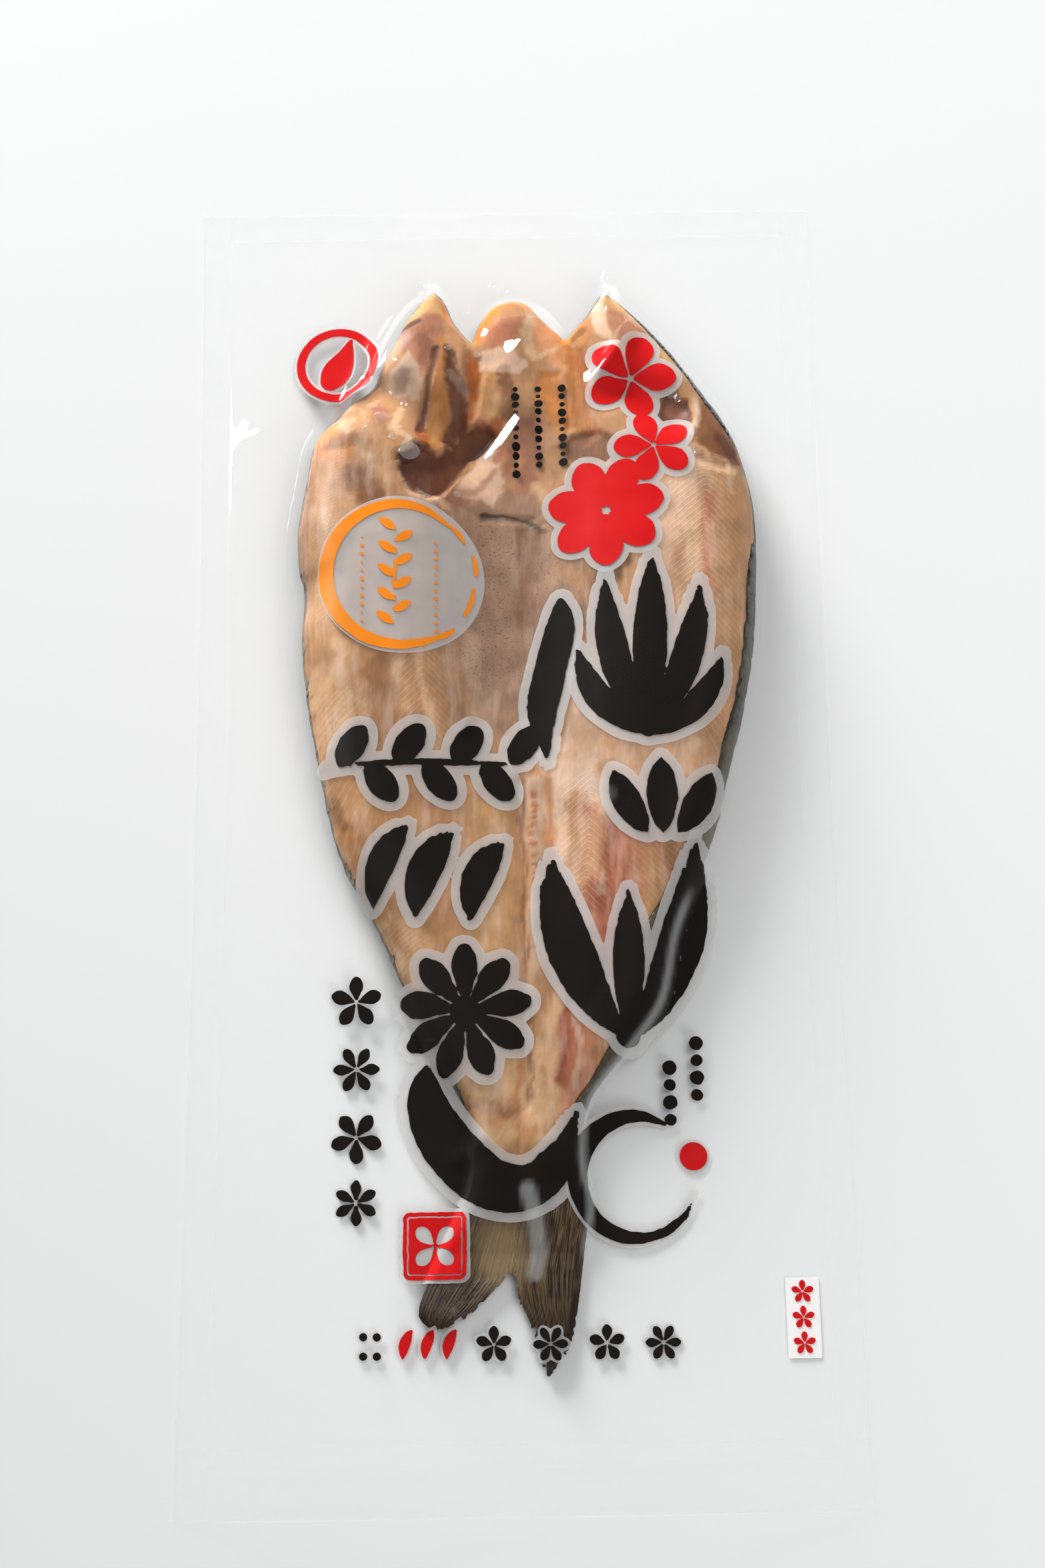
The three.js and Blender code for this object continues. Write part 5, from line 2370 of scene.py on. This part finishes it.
@dataclass
class Bubbles:
    """Small flat bubbles of air caught against the inner side of the upper film."""

    # Each bubble's place in the photo's pixels and its radius in mm.
    seen: tuple[Triple, ...] = (
        (672, 522, 1.1), (572, 625, 2.6), (590, 654, 1.6), (614, 675, 3.6), (606, 606, 1.3),
        (715, 533, 1.2), (755, 437, 1.7), (738, 430, 1.1), (640, 430, 1.3), (633, 440, 0.9),
        (1008, 590, 1.9), (990, 635, 1.2), (1035, 678, 1.8), (1016, 600, 1.0), (566, 604, 0.8),
        (600, 640, 0.9), (586, 590, 0.8), (545, 640, 1.0), (905, 446, 0.9), (925, 448, 1.1),
        (1092, 700, 0.9), (1098, 740, 0.7), (700, 470, 0.8), (812, 470, 0.8), (686, 742, 1.2),
    )
    below: float = 0.3
    flatness: float = 0.22
    haze: float = 0.06
    sides: int = 20
    rings: int = 5

    def shape(self) -> Shape:
        """All bubbles: in each, ring j is radius times sin, flatness times radius times cos.

        Returns:
            One shape.
        """
        spots = VIEW.on_fish([(px, py) for px, py, _ in self.seen])
        radius = np.array([r for _, _, r in self.seen])[:, None, None]
        down = np.linspace(0.06, np.pi - 0.06, self.rings)[None, :, None]
        turn = np.linspace(0, 2 * np.pi, self.sides, endpoint=False)[None, None, :]
        x = spots[:, 0, None, None] + radius * np.sin(down) * np.cos(turn)
        y = spots[:, 1, None, None] + radius * np.sin(down) * np.sin(turn)
        rise = self.flatness * radius * (np.cos(down) - 1) + 0 * turn
        points = np.stack([x, y, film_height(x, y) - self.below + rise], axis=-1)
        ball = split_quads(grid_quads(self.rings, self.sides, wrap=True))[:, ::-1]
        cap = np.array([(0, i, i + 1) for i in range(1, self.sides - 1)])
        each = np.vstack([ball, cap, cap[:, ::-1] + (self.rings - 1) * self.sides])
        count = self.rings * self.sides
        triangles = np.vstack([each + k * count for k in range(len(spots))])
        return Shape(points.reshape(-1, 3), triangles)

    def build(self, finish: Material) -> Piece:
        """Makes the bubbles in the film's finish.

        Args:
            finish: The film's material.

        Returns:
            The piece.
        """
        shape = self.shape()
        every = np.ones(len(shape.points))
        return make_piece("bubbles", shape, finish, "film", shine=every, haze=self.haze * every,
                          crinkle=0 * every)


# --- Table, light and camera ---

@dataclass(frozen=True)
class Lamp:
    """A square area light aimed at the origin. It stands at its place, or at a distance that
    way, in metres, and only shows in reflections or only lights matt surfaces."""

    name: str
    place: Triple
    size: float
    watts: float
    distance: float | None = None
    mirrored: bool = False

    def build(self) -> None:
        """Puts the light into the scene."""
        place = Vector(self.place)
        if self.distance:
            place = place.normalized() * self.distance
        light = bpy.data.lights.new(self.name, "AREA")
        light.size = self.size
        light.energy = self.watts
        holder = bpy.data.objects.new(self.name, light)
        holder.location = place
        holder.rotation_euler = place.to_track_quat("Z", "Y").to_euler()
        holder.visible_glossy = self.mirrored
        holder.visible_diffuse = not self.mirrored
        bpy.context.scene.collection.objects.link(holder)


@dataclass
class Studio:
    """The plain pale table, the soft light from the upper left and the camera."""

    floor_size: float = 6.0
    floor_z: float = -0.0002
    view: View = VIEW
    lamps: tuple[Lamp, ...] = (
        Lamp("key", (-0.40, 0.88, 0.20), 1.1, 141.0, distance=2.6),
        Lamp("glint", (-0.64, 0.60, 0.48), 0.44, 24.0, distance=1.6, mirrored=True),
        Lamp("top", (0.4, 0.25, 0.9), 0.7, 3.1),
        Lamp("right", (0.6, -0.9, 0.6), 0.6, 3.8),
    )
    sky: float = 0.26

    def floor(self) -> None:
        """The table."""
        half = self.floor_size / 2
        mesh = bpy.data.meshes.new("table")
        corners = [(-half, -half, 0), (half, -half, 0), (half, half, 0), (-half, half, 0)]
        mesh.from_pydata(corners, [], [(0, 1, 2, 3)])
        mesh.materials.append(FloorFinish().build())
        table = bpy.data.objects.new("table", mesh)
        table.location.z = self.floor_z
        bpy.context.scene.collection.objects.link(table)

    def camera(self) -> None:
        """The camera, at the photo's place."""
        right, upward, back = self.view.axes()
        lens = bpy.data.cameras.new("camera")
        lens.lens = self.view.lens
        lens.sensor_fit = "VERTICAL"
        lens.sensor_height = self.view.sensor
        lens.clip_start = 0.05
        lens.clip_end = 20.0
        camera = bpy.data.objects.new("camera", lens)
        place = Vector(self.view.target) + back * self.view.distance
        turn = Matrix((right, upward, back)).transposed().to_4x4()
        camera.matrix_world = Matrix.Translation(place) @ turn
        bpy.context.scene.collection.objects.link(camera)
        bpy.context.scene.camera = camera

    def build(self) -> None:
        """Sets up table, lights, sky and camera."""
        self.floor()
        for lamp in self.lamps:
            lamp.build()
        scene = bpy.context.scene
        world = bpy.data.worlds.new("sky")
        scene.world = world
        world.use_nodes = True
        background = world.node_tree.nodes["Background"]
        background.inputs[0].default_value = (1.0, 1.0, 1.0, 1.0)
        background.inputs[1].default_value = self.sky
        world.cycles_visibility.glossy = False
        scene.view_settings.view_transform = "Standard"
        scene.cycles.transparent_max_bounces = 24
        self.camera()


def main() -> None:
    """Dresses the frame, piece by piece."""
    logging.basicConfig(level=logging.INFO, format="%(message)s")
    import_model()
    Skin().build()
    Flesh().build()
    TailFin().build()
    Print().build()
    film = Pouch().build()
    Bubbles().build(film.data.materials[0])
    Studio().build()


if __name__ == "__main__":
    main()
